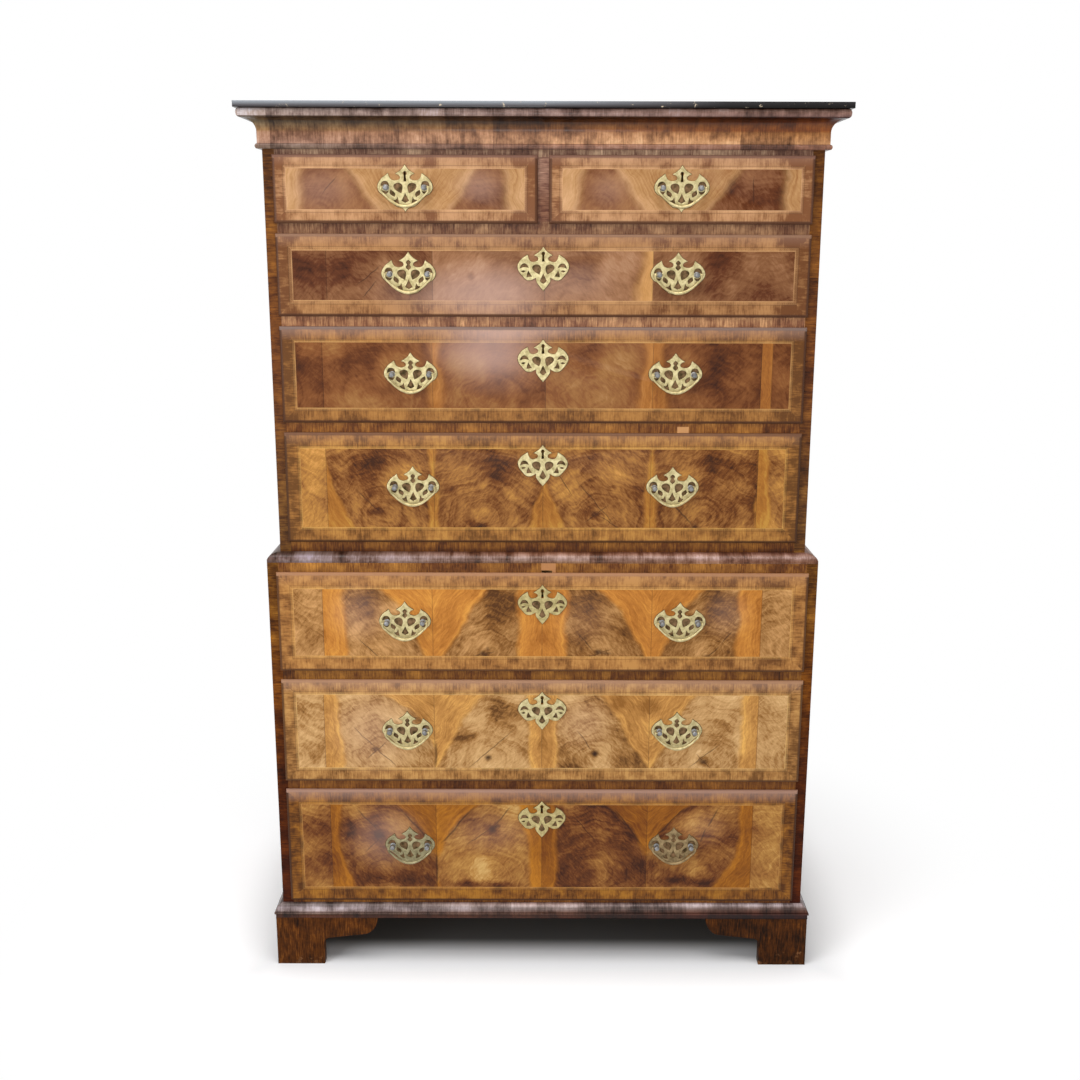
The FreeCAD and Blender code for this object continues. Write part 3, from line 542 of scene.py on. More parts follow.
        # The crossband also darkens to the right, the wood's tone with painted shade, and changes tone at its ends.
        slope = add("Math.MULTIPLY_ADD", x, self.slope / self.half[0], ends)
        band_colour, band_grain = crossgrain(tree, along, edge, self.palette.band, self.drift, spots=0.3, bite=1.8,
                                            blotch=3.0, slope=slope)
        colour, grain = self.field(tree, x, z)

        feather_out = self.band + self.feather
        t = add("Math.DIVIDE", add("Math.SUBTRACT", edge, self.band), self.feather)
        slant = add("Math.ABSOLUTE", add("Math.SUBTRACT", t, 0.5))
        ticks = add("Math.MULTIPLY", add("Math.MULTIPLY_ADD", slant, 12, along), 1.7)
        ticks = add("Math.MULTIPLY_ADD", add("Math.SINE", ticks), 0.14, 0.20)
        rims = add("MapRange", add("Math.SUBTRACT", edge, feather_out - 0.4), -2, -0.6, 0, 0.45)
        wear = add("TexNoise", add("CombineXYZ", along, edge, self.drift), 0.02, 4, 0.7)
        light = add("Math.MULTIPLY", add("Math.ADD", ticks, rims), add("MapRange", wear, 0.3, 0.6, 0.35, 1.05))
        feather = add("Mix.RGBA", light, band_colour, tint(self.palette.line))
        in_feather = add("Math.LESS_THAN", edge, feather_out)
        in_band = add("Math.LESS_THAN", edge, self.band)
        colour = add("Mix.RGBA", in_feather, colour, feather)
        colour = add("Mix.RGBA", in_band, colour, band_colour)
        grain = add("Mix", in_band, grain, band_grain)
        ring = add("MapRange", add("Math.ABSOLUTE", add("Math.SUBTRACT", edge, self.band)), 0.3, 1.2, 0.35, 0)
        colour = add("Mix.RGBA", ring, colour, tint("#3A2010"))
        # Painted sheen: pale clouds of painted reflection on the gloss.
        if self.figure.painted_sheens:
            painted_sheen = self.clouded(tree, add("CombineXYZ", x, z, 0), 0, self.figure.painted_sheens)
            colour = add("Mix.RGBA", painted_sheen, colour, tint(self.palette.painted_sheen_colour))
        # Dust and painted sheen: the upper crossband pales towards its top, in the painted sheen's colour.
        dusty = add("MapRange", z, self.half[1] - self.band * 1.1, self.half[1] - 8, 0, self.dust)
        colour = add("Mix.RGBA", dusty, colour, tint(self.palette.painted_sheen_colour))
        # The lip: dark on its sides and foot, the wood's own dark edge with painted shade; pale along the top, a
        # painted highlight.
        in_lip = add("MapRange", edge, 4, 6.5, 0.9, 0)
        upper = add("Math.GREATER_THAN", z, self.half[1] - 6.5)
        lip = add("Mix.RGBA", upper, tint(self.palette.lip), tint(self.palette.lip_top_highlight))
        colour = add("Mix.RGBA", in_lip, colour, lip)
        behind = add("Math.GREATER_THAN", y, self.lip + 0.6)
        colour = add("Mix.RGBA", behind, colour, oak_colour(tree, x, y, z))
        return self.polish.finish(tree, colour, grain)


def spread(codes: tuple[str, ...]) -> list:
    """Colour ramp with its colours evenly spaced."""
    return [(k / (len(codes) - 1), tint(code)) for k, code in enumerate(codes)]


def crossgrain(tree: Tree, along: Socket, across: Socket, codes: tuple[str, ...], seed: float,
               piece: float = 62.0, spots: float = 0.16, bite: float = 2.1, blotch: float = 2.1,
               slope: Socket | None = None) -> tuple[Socket, Socket]:
    """Veneer laid with its grain across a band, in short pieces of different tones.

    Args:
        tree: The material's tree.
        along: Millimetres along the band.
        across: Millimetres across it.
        codes: Colours from dark to pale.
        seed: Any number, for other pieces.
        piece: Usual length of a piece.
        spots: How much the pieces differ in tone.
        bite: How strongly single fibres show.
        blotch: How strongly broad light and dark patches show.
        slope: Change of tone along the band.

    Returns:
        The colour and the grain pattern.
    """
    add = tree.add
    uneven = add("TexNoise", add("CombineXYZ", along, seed * 31, 0), 0.011, 1)
    count = add("Math.ADD", add("Math.MULTIPLY", along, 1 / piece), add("Math.MULTIPLY", uneven, 2.6))
    number = add("Math.FLOOR", count)
    tone = add("TexWhiteNoise", add("CombineXYZ", number, seed, 3))
    fibres = add("TexNoise", add("CombineXYZ", along, add("Math.MULTIPLY", across, 0.10), seed), 0.4, 5, 0.62)
    cloud = add("TexNoise", add("CombineXYZ", along, across, seed), 0.028, 4, 0.65)
    mixed = add("Math.MULTIPLY_ADD", fibres, bite, add("Math.MULTIPLY", tone, spots))
    mixed = add("Math.MULTIPLY_ADD", cloud, blotch, mixed)
    mixed = add("Math.SUBTRACT", mixed, (blotch + bite + spots - 1) / 2)
    if slope is not None:
        mixed = add("Math.ADD", mixed, slope)
    return add("ValToRGB", mixed, ramp=spread(codes)), fibres


def shaded(tree: Tree, colour: Socket, z: Socket, levels: tuple[tuple[float, str], ...]) -> Socket:
    """Colour toned by height, which carries painted light and shade.

    Args:
        tree: The material's tree.
        colour: Colour of the wood.
        z: Millimetres up.
        levels: Heights, upwards, and the colours that the wood is multiplied by there.

    Returns:
        The toned colour.
    """
    low, high = levels[0][0], levels[-1][0]
    level = tree.add("MapRange", z, low, high)
    tone = tree.add("ValToRGB", level, ramp=[((up - low) / (high - low), tint(code)) for up, code in levels])
    return tree.add("Mix.RGBA", 1, colour, tone, blend_type="MULTIPLY")


def oak_colour(tree: Tree, x: Socket, y: Socket, z: Socket, drawer: bool = False) -> Socket:
    """Draws dry oak, its grain along Y on sides and along X on backs.

    Args:
        tree: The material's tree.
        x: Millimetres to the right.
        y: Millimetres back.
        z: Millimetres up.
        drawer: Level boards lie front to back, as in a drawer's bottom, and not from side to side.

    Returns:
        The oak's colour.
    """
    add = tree.add
    facing = add("VectorMath.ABSOLUTE", add("TexCoord", out="Normal"))
    if drawer:
        aside = add("Math.LESS_THAN", add("SeparateXYZ", facing, out="Y"), 0.5)
    else:
        aside = add("Math.GREATER_THAN", add("SeparateXYZ", facing, out="X"), 0.5)
    along = add("Math.MULTIPLY", add("Mix", aside, x, y), 0.06)
    stretched = add("CombineXYZ", along, add("Mix", aside, y, x), z)
    fibres = add("TexNoise", stretched, 0.5, 5, 0.65, None, 0.4)
    return add("ValToRGB", fibres, ramp=[(0.3, tint("#6B4A2C")), (0.5, tint("#9A7448")), (0.7, tint("#B9925F"))])


@dataclass(frozen=True)
class Linings:
    """Planed oak of the drawer linings, never polished.

    It gives the eye a dry, matt brown with fine straight streaks.
    """

    name: str = "dry oak"

    def material(self) -> Material:
        """Builds the lining's material.

        Returns:
            The material.
        """
        tree = Tree(self.name)
        x, y, z = tree.place()
        colour = oak_colour(tree, x, y, z, drawer=True)
        fibres = tree.add("TexNoise", tree.add("CombineXYZ", x, y, z), 0.3, 4)
        return tree.surface(colour, 0.62, fibres, 0.25)


@dataclass(frozen=True)
class BackBoards:
    """Sawn pine boards side by side, never polished.

    They give the eye a dusty grey-brown with upright streaks, and a dark gap where boards have shrunk.
    """

    name: str
    low: Vector                     # lower left corner of the back, in millimetres
    high: Vector                    # upper right corner
    count: int = 5                  # number of boards

    def material(self) -> Material:
        """Builds the boards' material.

        Returns:
            The material.
        """
        tree = Tree(self.name)
        add = tree.add
        x, y, z = tree.place()
        width = (self.high.x - self.low.x) / self.count
        across = add("Math.SUBTRACT", x, self.low.x)
        number = add("Math.FLOOR", add("Math.MULTIPLY", across, 1 / width))
        board = add("TexWhiteNoise", add("CombineXYZ", number, self.low.z, 1))
        point = add("CombineXYZ", x, add("Math.MULTIPLY", board, 400), add("Math.MULTIPLY", z, 0.05))
        fibres = add("TexNoise", point, 0.12, 6, 0.6, None, 0.8)
        dust = add("TexNoise", add("CombineXYZ", x, y, z), 0.006, 3)
        mixed = add("Math.MULTIPLY_ADD", dust, 0.5, add("Math.SUBTRACT", fibres, 0.36))
        mixed = add("Math.MULTIPLY_ADD", board, 0.22, mixed)
        colour = add("ValToRGB", mixed, ramp=[(0.2, tint("#4E3826")), (0.5, tint("#7F6344")), (0.8, tint("#A08560"))])
        beside = add("Math.PINGPONG", across, width)
        beside = add("Math.MINIMUM", beside, add("Math.SUBTRACT", width, beside))
        above = add("Math.MINIMUM", add("Math.SUBTRACT", z, self.low.z), add("Math.SUBTRACT", self.high.z, z))
        shrink = add("MapRange", beside, 0.8, 2, 0.9, 0)
        gap = add("Math.MAXIMUM", shrink, add("MapRange", above, 1, 2.6, 0.9, 0))
        colour = add("Mix.RGBA", gap, colour, tint("#1C130C"))
        return tree.surface(colour, 0.75, fibres, 0.4)


@dataclass(frozen=True)
class Patch:
    """Piece let into a rail's veneer: its left, bottom, right and top edges, and its colour."""

    box: tuple[float, float, float, float]
    code: str


@dataclass(frozen=True)
class CrossgrainFace:
    """Crossgrain walnut on a front plane, with plain walnut on the outer sides and oak inside.

    Short pieces of sawn veneer give the eye a row of slightly different browns with fibres across it.
    """

    name: str
    front: float                    # millimetres of the front plane
    axis: Axis
    side: float | None = None       # millimetres from the middle plane to a veneered side
    codes: tuple[str, ...] = ("#2D170A", "#593418", "#82572C", "#A6763F")
    levels: tuple[tuple[float, str], ...] = ((0.0, "#FFFFFF"), (1000.0, "#FFFFFF"))
    seed: float = 1.0
    partition: tuple[float, float, float] | None = None     # half its width, its foot and its head
    patches: tuple[Patch, ...] = ()
    polish: Polish = Polish()

    def material(self) -> Material:
        """Builds the carcass's material.

        Returns:
            The material.
        """
        tree = Tree(self.name)
        add = tree.add
        x, y, z = tree.place()
        along, across = (x, z) if self.axis is Axis.ACROSS else (z, x)
        colour, grain = crossgrain(tree, along, across, self.codes, self.seed, spots=0.3, bite=1.3, blotch=1.3)
        if self.partition:
            half, low, high = self.partition
            turned, _ = crossgrain(tree, z, x, PARTITION_CODES, self.seed + 5, bite=1.3, blotch=0.9)
            beside = add("Math.LESS_THAN", add("Math.ABSOLUTE", x), half)
            above = add("Math.GREATER_THAN", z, low)
            below = add("Math.LESS_THAN", z, high)
            inside = add("Math.MULTIPLY", add("Math.MULTIPLY", beside, above), below)
            colour = add("Mix.RGBA", inside, colour, turned)
        # Tones by height: the wood's tone with painted light and shade.
        colour = shaded(tree, colour, z, self.levels)
        for patch in self.patches:
            left, bottom, right, top = patch.box
            beside = add("Math.ABSOLUTE", add("Math.SUBTRACT", x, (left + right) / 2))
            above = add("Math.ABSOLUTE", add("Math.SUBTRACT", z, (bottom + top) / 2))
            over = add("Math.MAXIMUM", add("Math.SUBTRACT", beside, (right - left) / 2),
                       add("Math.SUBTRACT", above, (top - bottom) / 2))
            within = add("MapRange", over, -1.2, 0, 0.85, 0)
            colour = add("Mix.RGBA", within, colour, tint(patch.code))
        behind = add("Math.GREATER_THAN", y, self.front + 1.2)
        colour = add("Mix.RGBA", behind, colour, oak_colour(tree, x, y, z))
        if self.side is not None:
            plain = self.side_colour(tree, y, z)
            outside = add("Math.GREATER_THAN", add("Math.ABSOLUTE", x), self.side - 0.6)
            outside = add("Math.MULTIPLY", outside, behind)
            colour = add("Mix.RGBA", outside, colour, plain)
        return self.polish.finish(tree, colour, grain)

    def side_colour(self, tree: Tree, y: Socket, z: Socket) -> Socket:
        """Straight-grained walnut, matched in two leaves about the middle of the side.

        Args:
            tree: The material's tree.
            y: Millimetres back.
            z: Millimetres up.

        Returns:
            The side's colour.
        """
        add = tree.add
        folded = add("Math.PINGPONG", y, 160)
        wander = add("TexNoise", add("CombineXYZ", folded, add("Math.MULTIPLY", z, 0.22), self.seed), 0.008, 2)
        lines = add("Math.MULTIPLY_ADD", wander, 160, folded)
        fibres = add("TexNoise", add("CombineXYZ", lines, add("Math.MULTIPLY", z, 0.02), self.seed), 0.11, 6, 0.6)
        return add("ValToRGB", fibres, ramp=[(0.25, tint("#3A1E10")), (0.45, tint("#6A4024")), (0.6, tint("#8E5C34")),
                                             (0.8, tint("#A97645"))])


@dataclass(frozen=True)
class Moulding:
    """Crossgrain walnut moulding, planed to its shape in short lengths.

    It gives the eye fibres that run over the curves and a soft gloss, lighter and darker with each level and towards
    the
    ends: the wood's tone with painted highlights, painted reflections and painted shade. A top fillet is ebonised:
    near black, with painted light and shade, and pale chips.
    """

    name: str
    codes: tuple[str, ...]
    tones: tuple[tuple[tuple[float, str], ...], ...]    # painted light and shade over the wood's tone, at the left end, in the middle and at the right end: (millimetres up, colour that the wood is multiplied by)
                                                        # (millimetres up, colour that the wood is multiplied by)
    corner: float                                       # half the case's width less the distance to its face
    seed: float = 2.0
    piece: float = 52.0                                 # usual length of a piece
    spots: float = 0.42
    fillet: float | None = None                         # ebonised above this height
    end: float = 430.0                                  # from the middle to where the tones are an end's
    polish: Polish = Polish(roughness=0.34, coat=0.35, coat_roughness=0.2)

    def material(self) -> Material:
        """Builds the moulding's material.

        Returns:
            The material.
        """
        tree = Tree(self.name)
        add = tree.add
        x, y, z = tree.place()
        beside = add("Math.ADD", add("Math.ABSOLUTE", x), y)
        along = add("Mix", add("Math.GREATER_THAN", beside, self.corner), x, y)
        colour, grain = crossgrain(tree, along, z, self.codes, self.seed, self.piece, self.spots, 1.0)
        left, middle, right = (shaded(tree, colour, z, tones) for tones in self.tones)
        colour = add("Mix.RGBA", add("MapRange", x, -self.end, 0), left, middle)
        colour = add("Mix.RGBA", add("MapRange", x, 0, self.end), colour, right)
        if self.fillet is not None:
            black = add("Math.GREATER_THAN", z, self.fillet)
            chips = add("TexNoise", add("CombineXYZ", x, y, z), 0.09, 6, 0.75)
            # Painted reflection: the ebonised fillet greys towards its top, and painted shade darkens it towards the
            # right end.
            level = add("MapRange", z, self.fillet, self.fillet + 10)
            rubbed = [(0.0, tint("#1E1819")), (0.3, tint("#4A484C")), (1.0, tint("#8C929A"))]
            shade = [(0.5, tint("#FFFFFF")), (0.72, tint("#B4AEAE")), (0.85, tint("#5E5858")), (1.0, tint("#4A4444"))]
            shaded_side = add("ValToRGB", add("MapRange", x, -450, 450), ramp=shade)
            ebony = add("Mix.RGBA", 1, add("ValToRGB", level, ramp=rubbed), shaded_side, blend_type="MULTIPLY")
            chipped = add("Mix.RGBA", add("MapRange", chips, 0.62, 0.67), ebony, tint("#C9B9A0"))
            colour = add("Mix.RGBA", black, colour, chipped)
        return self.polish.finish(tree, colour, grain)


@dataclass(frozen=True)
class FootVeneer:
    """Dark walnut of the bracket feet, its polish worn away.

    It gives the eye a near-black brown that hardly shines, with pale scuffs near the floor.
    """

    name: str = "dark walnut foot"
    polish: Polish = Polish(roughness=0.45, coat=0.03, gloss=0.06)

    def material(self) -> Material:
        """Builds the feet's material.

        Returns:
            The material.
        """
        tree = Tree(self.name)
        add = tree.add
        x, y, z = tree.place()
        along = add("Math.ADD", x, y)
        slope = add("MapRange", x, -450, 450, 0.06, -0.12)
        colour, grain = crossgrain(tree, along, z, ("#1B0C03", "#3A1D06", "#532C0B", "#744316"), 8.0, 90.0,
                                   blotch=1.4, slope=slope)
        scuff = add("TexNoise", add("CombineXYZ", along, z, 4), 0.05, 6, 0.7)
        low = add("MapRange", z, 0, 45, 0.08, -0.06)
        bare = add("MapRange", add("Math.ADD", scuff, low), 0.62, 0.72, 0, 0.7)
        colour = add("Mix.RGBA", bare, colour, tint("#8A5F3C"))
        return self.polish.finish(tree, colour, grain)


@dataclass(frozen=True)
class Brass:
    """Cast brass, filed and rubbed bright.

    It gives the eye a pale yellow metal with a broad soft shine, duller and rougher where it has tarnished.
    """

    name: str
    bright: str = "#DACD9E"
    dull: str = "#9C8E60"
    tarnish: float = 0.45           # share of the surface that is tarnished
    roughness: float = 0.45         # where it is bright

    def material(self) -> Material:
        """Builds the brass.

        Returns:
            The material.
        """
        tree = Tree(self.name)
        add = tree.add
        x, y, z = tree.place()
        point = add("CombineXYZ", x, y, z)
        patches = add("TexNoise", point, 0.09, 5, 0.7)
        amount = add("MapRange", patches, 0.62 - self.tarnish * 0.5, 0.75)
        colour = add("Mix.RGBA", amount, tint(self.bright), tint(self.dull))
        rough = add("Math.MULTIPLY_ADD", amount, 0.25, self.roughness)
        return tree.surface(colour, rough, patches, 0.12, metallic=1.0)


@dataclass(frozen=True)
class GrimeAndShadow:
    """Old wax and dirt in the piercings of the brasses, with painted shadow in them and along the plates' edges.

    It gives the eye a dark, matt film with the wood's tone showing through.
    """

    name: str = "old wax and dirt"
    thick: str = "#3E3118"
    thin: str = "#86684A"

    def material(self) -> Material:
        """Builds the dirt.

        Returns:
            The material.
        """
        tree = Tree(self.name)
        x, y, z = tree.place()
        patches = tree.add("TexNoise", tree.add("CombineXYZ", x, y, z), 0.11, 4, 0.6)
        colour = tree.add("ValToRGB", patches, ramp=[(0.35, tint(self.thick)), (0.65, tint(self.thin))])
        return tree.surface(colour, 0.7, patches, 0.1, specular_ior_level=0.15)


@dataclass(frozen=True)
class Iron:
    """Wrought iron of the lock bolts, filed.

    It gives the eye a dark grey metal with fine brighter marks.
    """

    name: str = "filed iron"

    def material(self) -> Material:
        """Builds the iron.

        Returns:
            The material.
        """
        tree = Tree(self.name)
        x, y, z = tree.place()
        marks = tree.add("TexNoise", tree.add("CombineXYZ", x, y, z), 0.6, 4)
        colour = tree.add("ValToRGB", marks, ramp=[(0.3, tint("#3B3733")), (0.7, tint("#6A645C"))])
        return tree.surface(colour, 0.45, marks, 0.1, metallic=1.0)


def dress(node: Object, material: Material) -> None:
    """Puts one material on all of an object's slots.

    Args:
        node: The object.
        material: Its finish.
    """
    if not node.material_slots:
        node.data.materials.append(material)
    for slot in node.material_slots:
        slot.material = material


Outline = tuple[tuple, ...]         # points (across, up), or (across, up, CORNER) where it has a corner
CORNER = True
MITRED = 55.0                       # degrees past which an edge of a moulding or a foot is worn


class Shape:
    """Mesh of one piece while it is being shaped, in millimetres."""

    def __init__(self) -> None:
        """Starts with nothing."""
        self.mesh = bmesh.new()
        self.tip = None

    def line(self, *points: tuple[float, float, float]) -> None:
        """Carries the outline on from point to point, or starts it at the first one.

        Args:
            points: The points, in millimetres to the right, back and up.
        """
        for point in points:
            vertex = self.mesh.verts.new(point)
            if self.tip is not None:
                self.mesh.edges.new((self.tip, vertex))
            self.tip = vertex

    def arc(self, centre: Vector, axis: Vector, degrees: float, steps: int,
            stretch: Vector = Vector((1.0, 1.0, 1.0))) -> None:
        """Carries the outline on in a round.

        Args:
            centre: Middle of the round.
            axis: Axis that it turns about.
            degrees: How far it turns.
            steps: Number of short straights that it has.
            stretch: Scale about the middle that makes a circle's arc an ellipse's.
        """
        before = set(self.mesh.verts) - {self.tip}
        start, space = self.tip, Matrix.Translation(-centre)
        bmesh.ops.scale(self.mesh, vec=Vector(1 / value for value in stretch), space=space, verts=[start])
        turned = bmesh.ops.spin(self.mesh, geom=[start], cent=centre, axis=axis, angle=radians(degrees), steps=steps)
        self.tip = [item for item in turned["geom_last"] if isinstance(item, BMVert)][0]
        fresh = [vertex for vertex in self.mesh.verts if vertex not in before]
        bmesh.ops.scale(self.mesh, vec=stretch, space=space, verts=fresh)

    def close(self) -> None:
        """Joins the end of the outline to its start."""
        ends = [vertex for vertex in self.mesh.verts if len(vertex.link_edges) == 1]
        self.mesh.edges.new(ends)

    def fill(self, depth: Vector) -> None:
        """Fills the closed outline and gives it depth.

        Args:
            depth: From its front to its back.
        """
        face = bmesh.ops.edgeloop_fill(self.mesh, edges=self.mesh.edges[:])["faces"]
        deep = bmesh.ops.extrude_face_region(self.mesh, geom=face, use_keep_orig=True)["geom"]
        bmesh.ops.translate(self.mesh, vec=depth, verts=[v for v in deep if isinstance(v, BMVert)])

    def cut(self, point: Vector, normal: Vector) -> None:
        """Takes off what lies beyond a plane.

        Args:
            point: A point of the plane.
            normal: Its direction, towards what comes off.
        """
        geometry = self.mesh.verts[:] + self.mesh.edges[:] + self.mesh.faces[:]
        bmesh.ops.bisect_plane(self.mesh, geom=geometry, plane_co=point, plane_no=normal, clear_outer=True, dist=1e-4)

    def double(self, matrix: Matrix) -> None:
        """Adds a copy of everything and merges the two where they meet.

        Args:
            matrix: What the copy is put through.
        """
        geometry = self.mesh.verts[:] + self.mesh.edges[:] + self.mesh.faces[:]
        copy = bmesh.ops.duplicate(self.mesh, geom=geometry)["geom"]
        bmesh.ops.transform(self.mesh, matrix=matrix, verts=[v for v in copy if isinstance(v, BMVert)])
        bmesh.ops.remove_doubles(self.mesh, verts=self.mesh.verts, dist=1e-3)

    def frame_case(self, reach: float, low: Vector, high: Vector) -> None:
        """Runs a profile in the middle plane along a case's front and sides, mitred at the corners and worn.

        Args:
            reach: How far the profile stands out from the case.
            low: Lower left front corner of the finished moulding.
            high: Its upper right back corner.
        """
        self.close()
        half, front, back = high.x - reach, low.y + reach, high.y
        short = half - (back - front) - 50.0        # starts beyond the middle, so that the sides are long enough
        bmesh.ops.translate(self.mesh, vec=(short, 0.0, 0.0), verts=self.mesh.verts)
        run = bmesh.ops.extrude_edge_only(self.mesh, edges=self.mesh.edges[:])["geom"]
        ends = [item for item in run if isinstance(item, BMVert)]
        bmesh.ops.translate(self.mesh, vec=(2 * half, 0.0, 0.0), verts=ends)
        self.cut(Vector((half, front, 0.0)), Vector((1.0, 1.0, 0.0)))
        self.double(corner_mirror(half, front))
        self.cut(Vector((0.0, 0.0, 0.0)), Vector((-1.0, 0.0, 0.0)))
        self.cut(Vector((0.0, back, 0.0)), Vector((0.0, 1.0, 0.0)))
        self.double(Matrix.Scale(-1.0, 4, (1.0, 0.0, 0.0)))
        self.mend()
        self.wear(0.5, MITRED)
        self.hold(low, high)

    def mend(self) -> None:
        """Fills what is open."""
        open_edges = [edge for edge in self.mesh.edges if edge.is_boundary]
        bmesh.ops.holes_fill(self.mesh, edges=open_edges, sides=0)

    def block(self, low: Vector, high: Vector, wear: float = 0.6) -> None:
        """Adds a box with worn edges.

        Args:
            low: Its lower left front corner.
            high: Its upper right back corner.
            wear: Width of the worn edges.
        """
        middle, size = (low + high) / 2, high - low
        matrix = Matrix.Translation(middle) @ Matrix.Diagonal((*size, 1.0))
        made = bmesh.ops.create_cube(self.mesh, size=1.0, matrix=matrix)["verts"]
        edges = list({edge for vertex in made for edge in vertex.link_edges})
        bmesh.ops.bevel(self.mesh, geom=edges, offset=wear, segments=2, affect="EDGES", profile=0.5, material=-1)

    def turn(self, centre: Vector, profile: tuple[tuple[float, float], ...], steps: int = 20) -> None:
        """Adds a turned piece on an axis along Y.

        Args:
            centre: Point on the axis.
            profile: (distance towards the front from that point, radius) pairs, from end to end.
            steps: Sides of each round.
        """
        made = [self.mesh.verts.new(centre + Vector((0.0, -along, radius))) for along, radius in profile]
        edges = [self.mesh.edges.new(pair) for pair in zip(made, made[1:])]
        bmesh.ops.spin(self.mesh, geom=made + edges, cent=centre, axis=(0.0, 1.0, 0.0), angle=2 * pi, steps=steps,
                       use_merge=True)
        bmesh.ops.remove_doubles(self.mesh, verts=self.mesh.verts, dist=1e-3)

    def wear(self, width: float, sharp: float = 40.0) -> None:
        """Rounds the sharp edges.

        Args:
            width: How far the round reaches.
            sharp: Angle in degrees past which an edge is rounded.
        """
        edges = [edge for edge in self.mesh.edges if len(edge.link_faces) == 2
                 and edge.calc_face_angle(0.0) > radians(sharp)]
        bmesh.ops.bevel(self.mesh, geom=edges, offset=width, segments=2, affect="EDGES", profile=0.5, material=-1,
                        clamp_overlap=True)
        self.mend()

    def hold(self, low: Vector, high: Vector) -> None:
        """Keeps every point inside a box.

        Args:
            low: The box's lower left front corner.
            high: Its upper right back corner.
        """
        for vertex in self.mesh.verts:
            vertex.co = [min(max(value, least), most) for value, least, most in zip(vertex.co, low, high)]

    def add(self, mesh: Mesh, matrix: Matrix) -> None:
        """Adds another mesh and removes it.

        Args:
            mesh: The other mesh.
            matrix: What it is put through.
        """
        before = set(self.mesh.verts)
        self.mesh.from_mesh(mesh)
        bmesh.ops.transform(self.mesh, matrix=matrix, verts=[v for v in self.mesh.verts if v not in before])
        bpy.data.meshes.remove(mesh)

    def move(self, matrix: Matrix) -> None:
        """Puts everything through a matrix."""
        bmesh.ops.transform(self.mesh, matrix=matrix, verts=self.mesh.verts)

    def release(self, name: str) -> Mesh:
        """Ends the shaping with the faces turned outwards.

        Args:
            name: The mesh's name.

        Returns:
            Mesh of everything.
        """
        bmesh.ops.recalc_face_normals(self.mesh, faces=self.mesh.faces)
        data = bpy.data.meshes.new(name)
        self.mesh.to_mesh(data)
        self.mesh.free()
        return data

    def drill(self, place: Matrix, radius: float, depth: float) -> None:
        """Drills a round hole.

        Args:
            place: Middle of the hole, with its Z axis along the hole.
            radius: Radius of the hole.
            depth: Its length.
        """
        bit = Shape()
        bmesh.ops.create_cone(bit.mesh, cap_ends=True, segments=16, radius1=radius, radius2=radius, depth=depth,
                              matrix=place)
        work, tool = (bpy.data.objects.new("work", mesh) for mesh in (self.release("work"), bit.release("bit")))
        for item in (work, tool):
            link(item)
        hole = work.modifiers.new("hole", "BOOLEAN")
        hole.operation, hole.object, hole.solver = "DIFFERENCE", tool, "EXACT"
        graph = bpy.context.evaluated_depsgraph_get()
        drilled = bpy.data.meshes.new_from_object(work.evaluated_get(graph))
        for item in (work, tool):
            mesh = item.data
            bpy.data.objects.remove(item)
            bpy.data.meshes.remove(mesh)
        self.mesh = bmesh.new()
        self.add(drilled, Matrix.Identity(4))

    @classmethod
    def copy_of(cls, node: Object, behind: float | None = None) -> "Shape":
        """Merged copy of a node's mesh, or of what lies behind a plane of it.

        Args:
            node: The model's node.
            behind: Plane along Y, in millimetres; None copies everything.

        Returns:
            The shape.
        """
        shape = cls()
        shape.mesh.from_mesh(node.data)
        bmesh.ops.scale(shape.mesh, vec=(1 / MM,) * 3, verts=shape.mesh.verts)
        if behind is not None:
            before = [vertex for vertex in shape.mesh.verts if vertex.co.y < behind]
            bmesh.ops.delete(shape.mesh, geom=before, context="VERTS")
        bmesh.ops.remove_doubles(shape.mesh, verts=shape.mesh.verts, dist=1e-3)
        bmesh.ops.dissolve_limit(shape.mesh, angle_limit=radians(0.5), verts=shape.mesh.verts,
                                 edges=shape.mesh.edges)
        return shape

    def finish(self, name: str, body: str, material: Material, *nodes: str, smooth: float = 35.0,
               turn_out: bool = True, rim: Material | None = None) -> Object:
        """Makes the object, in metres, and lets it ride on its body.

        Args:
            name: The piece's name.
            body: The body that carries it.
            material: Its finish.
            nodes: The model's nodes that it stands for.
            smooth: Edges sharper than this many degrees stay sharp.
            turn_out: Whether the faces still have to be turned outwards.
            rim: Finish of the faces that don't look forwards or back; None for the same.

        Returns:
            The object.
        """
        bmesh.ops.scale(self.mesh, vec=(MM, MM, MM), verts=self.mesh.verts)
        if turn_out:
            bmesh.ops.recalc_face_normals(self.mesh, faces=self.mesh.faces)
        data = bpy.data.meshes.new(name)
        self.mesh.to_mesh(data)
        self.mesh.free()
        data.shade_smooth()
        data.set_sharp_from_angle(angle=radians(smooth))
        data.materials.append(material)
        if rim:
            data.materials.append(rim)
            for polygon in data.polygons:
                polygon.material_index = int(abs(polygon.normal.y) < 0.8)
        piece = bpy.data.objects.new(name, data)
        link(piece)
        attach(piece, body)
        if nodes:
            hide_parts(*nodes)
        log.info("%s: %d faces on %s", name, len(data.polygons), body)
        return piece


def corner_mirror(half: float, front: float) -> Matrix:
    """Mirror image across the mitre of a case's right front corner."""
    return Matrix(((0.0, -1.0, 0.0, half + front), (-1.0, 0.0, 0.0, half + front),
                   (0.0, 0.0, 1.0, 0.0), (0.0, 0.0, 0.0, 1.0)))


